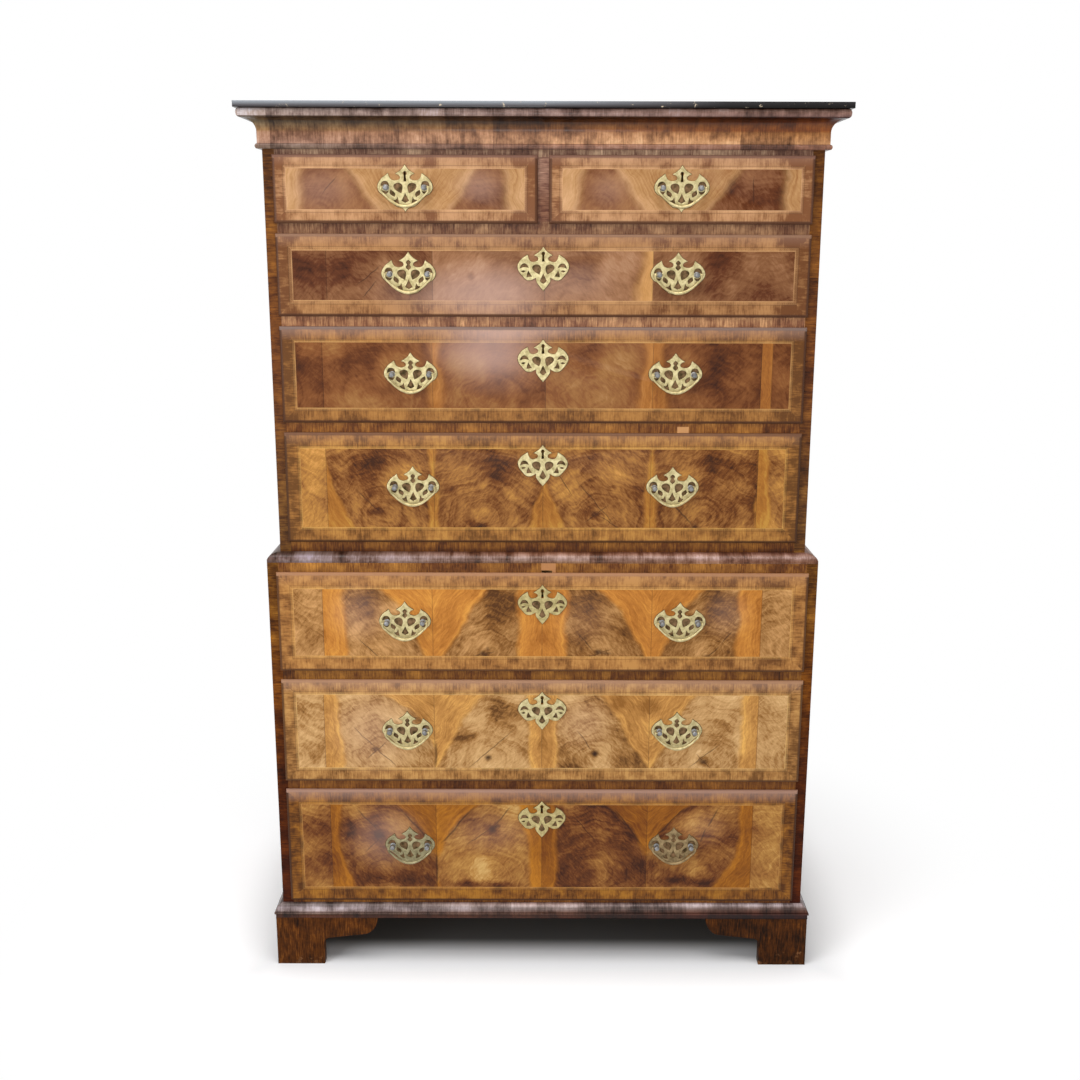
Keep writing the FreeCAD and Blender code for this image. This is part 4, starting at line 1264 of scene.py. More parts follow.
def pierced(outline: Outline, holes: tuple[Outline, ...], thickness: float, edge: float) -> Mesh:
    """Flat plate with rounded edges, cast to an outline and pierced.

    Args:
        outline: Points of the outline.
        holes: Outlines of the piercings.
        thickness: Thickness in millimetres.
        edge: Radius of its edges.

    Returns:
        The plate in the plane of X and Y, its front towards +Z.
    """
    curve = bpy.data.curves.new("casting", "CURVE")
    curve.dimensions, curve.fill_mode, curve.resolution_u = "2D", "BOTH", 4
    curve.extrude, curve.bevel_depth, curve.bevel_resolution, curve.offset = thickness / 2 - edge, edge, 1, -edge
    for path in (outline, *holes):
        spline = curve.splines.new("BEZIER")
        spline.bezier_points.add(len(path) - 1)
        for point, (across, up, *corner) in zip(spline.bezier_points, path):
            point.co = (across, up, 0.0)
            point.handle_left_type = point.handle_right_type = "VECTOR" if corner else "AUTO"
        spline.use_cyclic_u = True
    return mesh_of(curve)


def mesh_of(curve: Curve) -> Mesh:
    """Makes a curve a mesh and removes the curve.

    Args:
        curve: The curve.

    Returns:
        The mesh.
    """
    holder = bpy.data.objects.new("holder", curve)
    link(holder)
    graph = bpy.context.evaluated_depsgraph_get()
    mesh = bpy.data.meshes.new_from_object(holder.evaluated_get(graph))
    bpy.data.objects.remove(holder)
    bpy.data.curves.remove(curve)
    return mesh


def mirrored(half: Outline) -> Outline:
    """Whole outline from its right half, which runs from the top centre to the bottom centre."""
    return half + tuple((-across, up, *corner) for across, up, *corner in reversed(half) if across > 0)


def twice(hole: Outline) -> tuple[Outline, Outline]:
    """A piercing and its mirror image."""
    return hole, tuple((-across, up, *corner) for across, up, *corner in hole)


KEYHOLE: Outline = ((0, 8.8), (3.3, 5.5), (1.5, 2.0, CORNER), (2.4, -8.5, CORNER),
                    (-2.4, -8.5, CORNER), (-1.5, 2.0, CORNER), (-3.3, 5.5))


@dataclass
class Brasses:
    """Cast fittings of one drawer: pierced plates with turned posts, bails, an escutcheon and the lock."""

    drawer: str
    centre: Vector                  # middle of the drawer's face
    top: float                      # top of its lip
    posts: dict[str, Vector]        # by bail, the point on its axis between the posts
    escutcheon: bool
    plate: dict[str, Material]      # of plates and bails, by bail
    steel: Material                 # of the posts
    bright: Material                # of the escutcheon
    hollow: Material                # of the piercings' walls and the plates' edges: darker brass, its patina with painted shade
    # film of old wax and dirt behind the plates, with painted shadow
    grime_and_shadow: Material
    dark: Material                  # of lock and nuts
    thickness: float = 1.8          # of a plate
    edge: float = 0.75              # radius of its edges
    spacing: float = 68.0           # from post to post
    keyhole_up: float = 19.3
    escutcheon_drop: float = 56.5   # from the lip's top to the escutcheon's middle
    escutcheon_keyhole_up: float = 17.0
    pin: float = 1.45               # radius of a bail's pins
    arm: float = 41.9               # from a bail's middle to its arms

    def build(self, node: Object) -> None:
        """Builds the fittings in place of the drawer's plain ones.

        Args:
            node: The model's plain fittings, whose lock and nuts are kept.
        """
        plain = self.drawer + "_brasses"
        posts, grime_and_shadow = Shape(), Shape()
        for bail, point in self.posts.items():
            place = Vector((point.x, self.centre.y, point.z))
            self.add_grime_and_shadow(grime_and_shadow, self.plate_outline(), () if self.escutcheon else self.plate_holes()[:1], place)
            plate = Shape()
            self.add_plate(plate, self.plate_outline(), self.plate_holes(), place)
            plate.finish(bail + "_plate", self.drawer, self.plate[bail], plain, rim=self.hollow)
            self.add_posts(posts, place, self.centre.y - point.y)
        posts.finish(self.drawer + "_posts", self.drawer, self.steel, plain)
        if self.escutcheon:
            place = Vector((self.centre.x, self.centre.y, self.top - self.escutcheon_drop))
            self.add_grime_and_shadow(grime_and_shadow, self.escutcheon_outline(), self.escutcheon_holes()[:1], place)
            plate = Shape()
            self.add_plate(plate, self.escutcheon_outline(), self.escutcheon_holes(), place)
            plate.finish(self.drawer + "_escutcheon", self.drawer, self.bright, plain, rim=self.hollow)
        grime_and_shadow.finish(self.drawer + "_grime", self.drawer, self.grime_and_shadow, plain)
        inner = Shape.copy_of(node, self.centre.y + self.thickness)
        inner.wear(0.4)
        inner.finish(self.drawer + "_lock_and_nuts", self.drawer, self.dark, plain, turn_out=False)
        for bail, point in self.posts.items():
            self.bail(point).finish(bail + "_cast", bail, self.plate[bail], bail, smooth=50.0)

    def add_plate(self, shape: Shape, outline: Outline, holes: tuple[Outline, ...], place: Vector) -> None:
        """Adds a pierced plate that lies on the drawer's face."""
        upright = Matrix.Translation(place - Vector((0, self.thickness / 2, 0))) @ Matrix.Rotation(pi / 2, 4, "X")
        shape.add(pierced(outline, holes, self.thickness, self.edge), upright)

    def add_grime_and_shadow(self, shape: Shape, outline: Outline, keyhole: tuple[Outline, ...], place: Vector) -> None:
        """Adds the old wax and dirt that lie in a plate's piercings and along its edge, with painted shadow there."""
        # A little wider than the plate: a painted contact shadow round its edge.
        with_shadow_rim = tuple((across * 1.018, up * 1.022, *corner) for across, up, *corner in outline)
        film = pierced(with_shadow_rim, keyhole, 0.3, 0.1)
        shape.add(film, Matrix.Translation(place - Vector((0, 0.15, 0))) @ Matrix.Rotation(pi / 2, 4, "X"))

    def add_posts(self, shape: Shape, place: Vector, reach: float) -> None:
        """Adds a handle's two turned posts.

        Args:
            shape: The shape to add to.
            place: Point of the face between the posts.
            reach: Distance from the face to the bail's axis.
        """
        for side in (-1, 1):
            post = Shape()
            post.turn(Vector((0, 0, 0)), (
                (1.0, 0.0), (1.0, 5.4), (2.6, 5.4), (3.2, 4.4), (4.0, 3.2), (7.2, 2.9), (8.2, 3.6), (8.9, 4.5),
                (9.8, 4.95), (13.6, 5.0), (14.8, 4.7), (15.9, 3.9), (16.6, 2.4), (16.9, 0.0)), 24)
            eye = (Matrix.Translation((side * 3.5, -reach, 0)) @ Matrix.Rotation(pi / 2, 4, "Y"))
            post.drill(eye, self.pin + 0.15, 5.2)
            shape.add(post.release("post"), Matrix.Translation(place + Vector((side * self.spacing / 2, 0, 0))))

    def plate_outline(self) -> Outline:
        """Handle's plate: arrow head, horns, lobes round the posts and a bowed foot.

        Returns:
            Its outline.
        """
        half: Outline = (
            (0, 39.6, CORNER), (6.5, 31.0), (17.2, 23.8, CORNER), (10.2, 20.6), (8.8, 16.4),
            (13.6, 13.0), (22.4, 13.2), (26.6, 16.4), (30.2, 25.0, CORNER),
            (34.4, 21.4), (39.4, 18.0), (45.2, 11.6), (48.6, 4.5), (48.2, -3.5),
            (43.4, -10.6, CORNER), (36.5, -14.0), (30.0, -19.8), (22.5, -27.0),
            (15.6, -32.4, CORNER))
        if self.escutcheon:
            return mirrored(half + ((7.0, -34.6), (0, -35.3)))
        return mirrored(half + ((5.0, -35.4), (0, -41.6, CORNER)))

    def plate_holes(self) -> tuple[Outline, ...]:
        """Piercings of a handle's plate, the upper one a keyhole on the short drawers.

        Returns:
            Their outlines.
        """
        crown: Outline = mirrored(((0, 25.4, CORNER), (4.2, 20.8), (2.2, 17.0), (4.6, 12.6),
                                   (0, 7.4, CORNER)))
        if not self.escutcheon:
            crown = tuple((across, up + self.keyhole_up, *corner) for across, up, *corner in KEYHOLE)
        drop: Outline = mirrored(((0, -9.4, CORNER), (2.8, -15.6), (6.6, -22.6, CORNER), (2.6, -24.8),
                                  (0, -26.0)))
        heart: Outline = ((5.2, 4.2), (9.4, 7.6), (15.6, 7.4), (20.2, 3.6),
                          (18.8, -1.6), (13.2, -6.4), (7.0, -9.6, CORNER), (4.8, -3.0))
        slot: Outline = ((25.8, -3.8, CORNER), (27.2, -9.8), (19.4, -16.0, CORNER), (18.0, -10.4))
        wedge: Outline = ((13.4, -16.0, CORNER), (16.2, -20.6), (21.0, -21.6, CORNER), (17.4, -25.8),
                          (10.8, -28.0, CORNER), (12.4, -22.0))
        moon: Outline = ((28.6, 3.0, CORNER), (30.6, 9.0), (36.0, 11.2), (41.2, 8.8),
                         (43.4, 2.4, CORNER), (36.0, 4.4))
        under: Outline = ((30.0, -5.8, CORNER), (34.6, -6.6), (41.0, -4.6, CORNER), (38.6, -8.8),
                          (33.4, -10.4))
        return (crown, drop, *twice(heart), *twice(slot), *twice(wedge), *twice(moon), *twice(under))

    def escutcheon_outline(self) -> Outline:
        """Escutcheon: arrow head and horns over lobes and a spade point.

        Returns:
            Its outline.
        """
        return mirrored((
            (0, 34.2, CORNER), (6.5, 26.6), (17.0, 19.4, CORNER), (10.6, 16.4), (9.2, 12.4),
            (14.0, 8.8), (21.6, 8.4), (25.2, 12.0), (28.2, 20.8, CORNER),
            (33.0, 17.8), (38.2, 14.4, CORNER), (42.8, 9.0), (46.4, 1.8), (44.6, -8.0),
            (38.2, -16.6, CORNER), (30.8, -23.8), (23.0, -24.8), (17.4, -22.6),
            (12.8, -20.2, CORNER), (12.6, -26.4), (7.6, -34.2), (0, -43.2, CORNER)))

    def escutcheon_holes(self) -> tuple[Outline, ...]:
        """Piercings of an escutcheon, the first one the keyhole.

        Returns:
            Their outlines.
        """
        key = tuple((across, up + self.escutcheon_keyhole_up, *corner) for across, up, *corner in KEYHOLE)
        drop: Outline = mirrored(((0, -13.0, CORNER), (2.8, -18.8), (6.0, -25.6, CORNER), (2.6, -29.2),
                                  (0, -30.4)))
        heart: Outline = ((4.8, -0.8), (9.0, 2.6), (15.4, 2.6), (19.8, -1.6),
                          (18.0, -6.8), (12.6, -11.2), (7.2, -14.2, CORNER), (4.8, -7.8))
        slot: Outline = ((26.8, -7.8, CORNER), (29.2, -13.4), (30.0, -18.8, CORNER), (20.4, -17.8, CORNER),
                         (24.0, -12.8))
        moon: Outline = ((26.4, -2.4, CORNER), (29.6, 2.8), (35.0, 5.0), (40.0, 2.0),
                         (42.4, -4.0, CORNER), (35.0, -1.4))
        slit: Outline = ((32.0, -8.4, CORNER), (36.0, -7.2), (40.0, -9.0, CORNER), (36.4, -10.6))
        return (key, drop, *twice(heart), *twice(slot), *twice(moon), *twice(slit))

    def bail(self, axis: Vector) -> Shape:
        """Bail about its axis: a bow that swells to its middle, with pins in the posts' eyes.

        Args:
            axis: The point between the posts that it hinges on.

        Returns:
            The bail.
        """
        curve = bpy.data.curves.new("bow", "CURVE")
        curve.dimensions, curve.bevel_depth, curve.bevel_resolution, curve.use_fill_caps = "3D", 1.0, 3, True
        curve.resolution_u = 6
        spline = curve.splines.new("BEZIER")
        half = ((self.arm, 0.6, 2.3), (41.4, -6.5, 2.15), (34.8, -14.0, 2.1), (24.0, -23.6, 2.35), (11.0, -30.6, 2.7),
                (0.0, -32.6, 3.0))
        path = half + tuple((-x, z, radius) for x, z, radius in reversed(half[:-1]))
        spline.bezier_points.add(len(path) - 1)
        for point, (x, z, radius) in zip(spline.bezier_points, path):
            point.co, point.radius = (x, 0.0, z), radius
            point.handle_left_type = point.handle_right_type = "AUTO"
        shape = Shape()
        shape.add(mesh_of(curve), Matrix.Translation(axis))
        for side in (-1, 1):
            inner, outer = self.spacing / 2 + 1.2, self.arm
            middle = axis + Vector((side * (inner + outer) / 2, 0, 0))
            turn = Matrix.Translation(middle) @ Matrix.Rotation(pi / 2, 4, "Y")
            bmesh.ops.create_cone(shape.mesh, cap_ends=True, segments=16, radius1=self.pin, radius2=self.pin,
                                  depth=outer - inner, matrix=turn)
            bmesh.ops.create_uvsphere(shape.mesh, u_segments=16, v_segments=10, radius=2.5,
                                      matrix=Matrix.Translation(axis + Vector((side * self.arm, 0, 0))))
        return shape


@dataclass
class Cornice:
    """Moulding under the top: bead, plain frieze, cavetto, torus and top fillet."""

    material: Material
    reach: float = 40.0             # how far it stands out from the case
    fillet: float = 10.5            # height
    torus: float = 16.0             # height
    torus_round: float = 5.0        # how far its round stands out
    set_back: float = 9.0           # of the torus behind the fillet
    step: float = 2.0               # between the cavetto and the torus
    frieze: float = 7.0             # thickness
    bead: float = 9.0               # height
    bead_round: float = 3.5         # how far its round stands out

    def build(self) -> None:
        """Builds the moulding in place of the plain one."""
        low, high = (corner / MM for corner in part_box("cornice"))
        face = low.y + self.reach
        torus_z = high.z - self.fillet - self.torus
        torus_y, frieze_y = face - self.reach + self.set_back, face - self.frieze
        hollow = frieze_y - torus_y - self.step
        shape = Shape()
        shape.line((0, face, low.z), (0, frieze_y, low.z))
        shape.arc(Vector((0, frieze_y, low.z + self.bead / 2)), Vector((1, 0, 0)), -180, 10,
                  Vector((1, self.bead_round / (self.bead / 2), 1)))
        shape.line((0, frieze_y, torus_z - hollow))
        shape.arc(Vector((0, frieze_y - hollow, torus_z - hollow)), Vector((1, 0, 0)), 90, 12)
        shape.line((0, torus_y, torus_z))
        shape.arc(Vector((0, torus_y, torus_z + self.torus / 2)), Vector((1, 0, 0)), -180, 12,
                  Vector((1, self.torus_round / (self.torus / 2), 1)))
        shape.line((0, low.y, high.z - self.fillet), (0, low.y, high.z), (0, face, high.z))
        shape.frame_case(self.reach, low, high)
        shape.finish("cornice_moulding", "upper_chest", self.material, "cornice")


@dataclass
class WaistMoulding:
    """Quarter round on the lower chest round the foot of the upper chest."""

    material: Material
    ledge: float = 22.0             # how far it stands out from the upper case
    fillet: float = 3.0             # height
    gap: float = 0.3                # to the upper case, which lifts off

    def build(self) -> None:
        """Builds the moulding in place of the plain one."""
        low, high = (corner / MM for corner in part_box("waist_moulding"))
        face = low.y + self.ledge
        shape = Shape()
        shape.line((0, face - self.gap, low.z), (0, low.y, low.z), (0, low.y, low.z + self.fillet))
        centre = Vector((0, face - self.fillet, low.z + self.fillet))
        shape.arc(centre, Vector((1, 0, 0)), -90, 10, Vector((1, 1, (high.z - centre.z) / (centre.y - low.y))))
        shape.line((0, face - self.gap, high.z))
        shape.frame_case(self.ledge, low, high)
        shape.finish("waist_quarter_round", "root", self.material, "waist_moulding")


@dataclass
class BaseMoulding:
    """Moulding on the feet: a plain strip, a small nose and a round against the carcass."""

    material: Material
    reach: float = 15.5             # how far it stands out from the case
    strip: float = 9.0              # height
    strip_reach: float = 13.0       # how far the strip stands out
    nose: float = 3.5               # height
    seat: float = 17.0              # from its foot up to the carcass's
    flat: float = 45.0              # how far it lies under the carcass

    def build(self) -> None:
        """Builds the moulding in place of the plain one."""
        low, high = (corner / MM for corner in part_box("base_moulding"))
        face = low.y + self.reach
        nose_z = low.z + self.strip
        shape = Shape()
        shape.line((0, face, low.z + self.seat), (0, face + self.flat, low.z + self.seat),
                   (0, face + self.flat, low.z), (0, face - self.strip_reach, low.z),
                   (0, face - self.strip_reach, nose_z), (0, low.y, nose_z), (0, low.y, nose_z + self.nose),
                   (0, face - self.strip_reach, nose_z + self.nose))
        centre = Vector((0, face, nose_z + self.nose))
        shape.arc(centre, Vector((1, 0, 0)), -90, 10, Vector((1, 1, (high.z - centre.z) / self.strip_reach)))
        shape.frame_case(self.reach, low, high)
        shape.finish("base_round", "root", self.material, "base_moulding")


@dataclass
class BracketFeet:
    """Four bracket feet: shaped boards mitred at the corners, a plain board behind and glue blocks."""

    veneer: Material
    leg: float = 95.0               # width of the leg at the floor
    length: float = 204.0           # of a foot along the front
    thickness: float = 20.0         # of a board
    throat: float = 12.0            # radius where the leg meets the bracket
    tip: float = 30.0               # length of the round at the bracket's end
    bracket: float = 58.0           # height of the leg up to the bracket
    rise: float = 8.0               # of the bracket towards its end
    slope: float = 10.0             # degrees
    block: float = 36.0             # width of a glue block
    block_up: float = 4.0           # its height off the floor

    def build(self) -> None:
        """Builds the feet in place of the plain ones."""
        low, high = (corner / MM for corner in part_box("bracket_feet"))
        height, half, front = high.z, high.x, low.y
        inner, back = half - self.thickness, high.y
        right = Shape()
        self.board(right, half, front, height)
        right.cut(Vector((half, front, 0)), Vector((1, 1, 0)))
        right.double(corner_mirror(half, front))
        rear = Shape()
        self.board(rear, half, front, height)
        rear.move(Matrix(((0, -1, 0, front + half), (1, 0, 0, back - half), (0, 0, 1, 0), (0, 0, 0, 1))))
        right.add(rear.release("rear board"), Matrix.Identity(4))
        right.block(Vector((inner - self.leg, back - self.thickness, 0)), Vector((inner, back, height)))
        corners = ((front + self.thickness, front + self.thickness + self.block),
                   (back - self.thickness - self.block, back - self.thickness))
        for near, far in corners:
            right.block(Vector((inner - self.block, near, self.block_up)), Vector((inner, far, height)))
        right.double(Matrix.Scale(-1.0, 4, (1.0, 0.0, 0.0)))
        right.wear(0.8, MITRED)
        right.hold(low, high)
        right.finish("shaped_feet", "root", self.veneer, "bracket_feet")

    def board(self, shape: Shape, half: float, front: float, height: float) -> None:
        """Shapes the front board of the right foot.

        Args:
            shape: The shape to draw it in.
            half: Outer face of the foot.
            front: Front face of the foot.
            height: Height of the foot.
        """
        leg_x, tip_x = half - self.leg, half - self.length + self.tip
        throat_z, drop = self.bracket - self.throat, height - self.bracket - self.rise
        shape.line((half, front, 0), (leg_x, front, 0), (leg_x, front, throat_z))
        shape.arc(Vector((leg_x - self.throat, front, throat_z)), Vector((0, 1, 0)), self.slope - 90, 8)
        slope = radians(self.slope)
        shape.line((tip_x - self.tip * sin(slope), front, height - drop * cos(slope)))
        shape.arc(Vector((tip_x, front, height)), Vector((0, 1, 0)), 90 - self.slope, 10,
                  Vector((self.tip / drop, 1, 1)))
        shape.line((half, front, height))
        shape.close()
        shape.fill(Vector((0, self.thickness, 0)))


@dataclass
class Studio:
    """White floor, soft lamps and the camera."""

    eye: Vector = field(default_factory=lambda: Vector((0.0, -2.5939, 1.4335)))
    down: float = 13.252                # degrees below the level
    roll: float = 0.15                  # degrees
    focal_pixels: float = 1273.0        # focal length, in pixels of the frame
    frame_pixels: float = 1080.0        # width of the frame
    centre_pixel: float = 542.6         # where the lens's axis meets it

    def camera(self) -> None:
        """Places the camera."""
        data = bpy.data.cameras.new("camera")
        data.sensor_width = 36.0
        data.lens = self.focal_pixels / self.frame_pixels * data.sensor_width
        data.shift_x = (self.frame_pixels / 2 - self.centre_pixel) / self.frame_pixels
        data.clip_start = 0.05
        camera = bpy.data.objects.new("camera", data)
        link(camera)
        turn = Matrix.Rotation(radians(90 - self.down), 4, "X") @ Matrix.Rotation(radians(self.roll), 4, "Z")
        camera.matrix_world = Matrix.Translation(self.eye) @ turn
        bpy.context.scene.camera = camera

    def lamp(self, name: str, place: Vector, aim: Vector, size: tuple[float, float], power: float,
             code: str = "#FFFFFF") -> None:
        """Adds a soft rectangular lamp.

        Args:
            name: The lamp's name.
            place: Where it hangs.
            aim: What it points at.
            size: Width and height in metres.
            power: Watts.
            code: Colour.
        """
        data = bpy.data.lights.new(name, "AREA")
        data.shape = "RECTANGLE"
        data.size, data.size_y = size
        data.energy = power
        data.color = tint(code)[:3]
        lamp = bpy.data.objects.new(name, data)
        link(lamp)
        lamp.matrix_world = Matrix.Translation(place) @ (aim - place).to_track_quat("-Z", "Y").to_matrix().to_4x4()

    def floor(self) -> None:
        """Lays a pale floor that keeps the shadow, darkens it with painted shadow under the chest, and goes to white
        away from the object.
        """
        mesh = bmesh.new()
        bmesh.ops.create_grid(mesh, x_segments=1, y_segments=1, size=30.0)
        data = bpy.data.meshes.new("floor")
        mesh.to_mesh(data)
        mesh.free()
        floor = bpy.data.objects.new("floor", data)
        link(floor)
        tree = Tree("floor paper")
        add = tree.add
        point = add("TexCoord", out="Object")
        reach = add("VectorMath.LENGTH", point, out="Value")
        far = add("MapRange", reach, 0.55, 1.15, 0, 1, interpolation_type="SMOOTHSTEP")
        path = add("LightPath").node.outputs
        seen = add("Math.MAXIMUM", path["Is Camera Ray"], path["Is Glossy Ray"])
        seen = add("Math.MAXIMUM", seen, path["Is Transmission Ray"])
        x, y, _ = add("SeparateXYZ", point).node.outputs
        # Painted shadow: the floor's colour is dark grey under the chest and pales just outside it, where the glow
        # for the camera also rises.
        beside = add("Math.SUBTRACT", add("Math.ABSOLUTE", x), 0.5)
        before = add("Math.SUBTRACT", -0.22, y)
        out = add("Math.MAXIMUM", beside, before)
        clear = add("MapRange", out, -0.05, 0.005, 0, 1, interpolation_type="SMOOTHSTEP")
        paper = add("BsdfDiffuse", add("Mix.RGBA", clear, tint("#5E5E5E"), tint("#F0F3F8")))
        glow = add("Emission", tint("#FFFFFF"), 1)
        rise = add("MapRange", out, 0, 0.2, 0, 0.34, interpolation_type="SMOOTHSTEP")
        lift = add("Emission", tint("#FFFFFF"), add("Math.MULTIPLY", seen, rise))
        near = add("AddShader", paper, lift)
        tree.add_output(add("MixShader", add("Math.MULTIPLY", far, seen), near, glow))
        dress(floor, tree.material)

    def sky(self) -> None:
        """Lights the room evenly and shows white behind the object."""
        tree = Tree("room", world=True)
        bpy.context.scene.world = tree.material
        path = tree.add("LightPath").node.outputs
        seen = tree.add("Math.MAXIMUM", path["Is Camera Ray"], path["Is Transmission Ray"])
        room, white = tree.add("Background", tint("#F2EFEA"), 0.55), tree.add("Background", tint("#FFFFFF"), 1)
        tree.add_output(tree.add("MixShader", seen, room, white), "World")

    def build(self) -> None:
        """Sets up the whole studio."""
        bpy.context.scene.view_settings.view_transform = "Standard"
        self.camera()
        self.floor()
        self.sky()
        middle = Vector((0.0, 0.0, 0.85))
        self.lamp("top", Vector((-0.2, -1.3, 3.6)), middle, (2.6, 1.8), 62.0, "#FFFAF5")
        self.lamp("front", Vector((-0.1, -3.7, 1.08)), middle, (1.0, 0.7), 12.0)
        self.lamp("left", Vector((-2.6, -2.6, 1.7)), middle, (1.8, 2.0), 46.0)
        self.lamp("right", Vector((3.2, -2.4, 1.6)), middle, (1.6, 2.0), 14.0)


def dress_inside(nodes: dict) -> None:
    """Dresses drawer boxes, back boards and lock bolts.

    Args:
        nodes: The model's nodes by name.
    """
    linings, iron = Linings().material(), Iron().material()
    for name, node in nodes.items():
        if name.endswith("_box"):
            dress(node, linings)
        elif name.endswith("_back_boards"):
            low, high = (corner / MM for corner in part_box(name))
            dress(node, BackBoards(name.replace("_", " "), low, high).material())
        elif name.endswith("_lock_bolt"):
            dress(node, iron)


def dress_case(nodes: dict, case: str, seed: float, gloss: float) -> None:
    """Lays the walnut on a chest's sides, rails, top and bottom.

    Args:
        nodes: The model's nodes by name.
        case: The chest, upper or lower.
        seed: Any number, for other pieces of veneer.
        gloss: Specular level of its sides.
    """
    low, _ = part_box(case + "_left_side")
    front = low.y / MM
    sides = CrossgrainFace(case + " sides", front, Axis.UP, -low.x / MM, levels=STILE_TONE_AND_LIGHT, seed=seed,
                           polish=Polish(coat=0.04, gloss=gloss)).material()
    dress(nodes[case + "_left_side"], sides)
    dress(nodes[case + "_right_side"], sides)
    partition = None
    if case == "upper":
        low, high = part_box("drawer_1_left_front")
        partition = (14.0, low.z / MM + 4, high.z / MM - 4)
    rails = CrossgrainFace(case + " rails", front, Axis.ACROSS, codes=RAIL_CODES, levels=RAIL_TONE_AND_LIGHT,
                           seed=seed + 1, partition=partition, patches=PATCHES).material()
    dress(nodes[case + "_rails_and_dustboards"], rails)
    dress(nodes[case + "_top_and_bottom"], rails)


def build_mouldings() -> None:
    """Builds the cornice, the waist moulding and the base moulding in their veneers."""
    for name, maker, codes, ends in (("cornice", Cornice, CORNICE_CODES, CORNICE_TONE_AND_LIGHT),
                                     ("waist_moulding", WaistMoulding, WAIST_CODES, WAIST_TONE_AND_LIGHT),
                                     ("base_moulding", BaseMoulding, BASE_CODES, BASE_TONE_AND_LIGHT)):
        low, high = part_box(name)
        tones = tuple(tuple(((low if up >= 0 else high).z / MM + up, code) for up, code in level) for level in ends)
        look = {"seed": 9.0, "polish": Polish(roughness=0.34, coat=0.2, coat_roughness=0.2)}
        if maker is Cornice:
            look = {"fillet": high.z / MM - Cornice.fillet - 0.1}
        walnut = Moulding(name.replace("_", " "), codes, tones, high.x / MM + low.y / MM, **look)
        maker(walnut.material()).build()


def build_brasses(frame: dict) -> None:
    """Builds every drawer's brasses, in the brasses of its row.

    Args:
        frame: The shared frame.
    """
    nodes = frame["nodes"]
    brass = Brass("lemon brass").material()
    grey_brass = Brass("grey old brass", bright="#C4BC96", dull="#6E6448", tarnish=0.8).material()
    brown_brass = Brass("brown old brass", bright="#BBA37A", dull="#6A5A40", tarnish=0.8).material()
    # Darker brass on the walls and edges of the plates: patina with painted shade.
    hollow = Brass("brass in hollows", bright="#8E7C4C", dull="#4E4226", tarnish=0.5, roughness=0.6).material()
    grime_and_shadow = GrimeAndShadow().material()
    worn_brass = Brass("worn brass", bright="#C9BA86", dull="#887A4E").material()
    steel = Brass("worn plated posts", bright="#A8A9AB", dull="#626262", tarnish=0.7, roughness=0.42).material()
    lock_brass = Brass("brown brass", bright="#B08C4C", dull="#6E5430", tarnish=0.8, roughness=0.42).material()
    hinges = {joint["child"]: Vector(joint["pos_m"]) / MM for joint in frame["joints"] if joint["type"] == "hinge"}
    for body in frame["bodies"]:
        if body + "_front" not in nodes:
            continue
        low, high = (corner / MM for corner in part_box(body + "_front"))
        posts = {bail: point for bail, point in hinges.items() if bail.startswith(body)}
        plate = {bail: brass for bail in posts}
        if body == "drawer_7":
            plate = {body + "_left_bail": grey_brass, body + "_right_bail": brown_brass}
        Brasses(drawer=body, centre=Vector(((low.x + high.x) / 2, low.y, (low.z + high.z) / 2)), top=high.z,
                posts=posts, escutcheon="_1_" not in body, plate=plate, steel=steel,
                bright=worn_brass if body in ("drawer_5", "drawer_7") else brass, hollow=hollow, grime_and_shadow=grime_and_shadow,
                dark=lock_brass).build(nodes[body + "_brasses"])


def main() -> None:
    """Dresses the chest, builds its brasses and mouldings and sets up the studio."""
    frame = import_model()
    Studio().build()
    nodes = frame["nodes"]
    dress_inside(nodes)
    dress_case(nodes, "upper", 1.0, 0.14)
    dress_case(nodes, "lower", 4.0, 0.07)
    build_mouldings()
    BracketFeet(FootVeneer().material()).build()
    dress_fronts(nodes)
    build_brasses(frame)


# A moulding's colours from dark to pale, then its tones at the left end, in the middle and at the right
# end. Heights are above its foot, or below its head where they are negative. The tones are the wood's own tone with
# painted light and shade: painted highlights and painted sky reflections on the rounds, painted shade in the hollows
# and under the fillets, and on the cornice and the base more painted shade towards the right end.
CORNICE_CODES = ("#604538", "#A18272", "#D5B4A0", "#FBE5DB")
CORNICE_TONE_AND_LIGHT = (
    ((0, "#8E8A80"), (8.5, "#A5A1A3"), (10, "#D8C6BC"), (28, "#C6A98F"), (32, "#AE9465"), (40, "#998E6D"),
     (46, "#676149"), (53.2, "#5A4C38"), (54, "#CBD2DC"), (-13, "#BCC6D2"), (-11, "#7A7478")),
    ((0, "#A28C84"), (8.5, "#C1A390"), (10, "#F6DEBA"), (28, "#E1C09D"), (32, "#A47742"), (40, "#88683D"),
     (43, "#624626"), (46, "#4F361C"), (53.2, "#3A2210"), (54, "#B2ABB2"), (-13, "#B2ABB2"),
     (-11, "#62565A")),
    ((0, "#9A7A6A"), (8.5, "#A58A7C"), (10, "#EACD9E"), (28, "#DFB474"), (32, "#B3732C"), (40, "#946124"),
     (46, "#6A3A10"), (53.2, "#451C08"), (54, "#9A898C"), (-13, "#A0928F"), (-11, "#5C4A4A")))
WAIST_CODES = ("#492B1E", "#8D6553", "#C19D8E", "#EAC9C1")
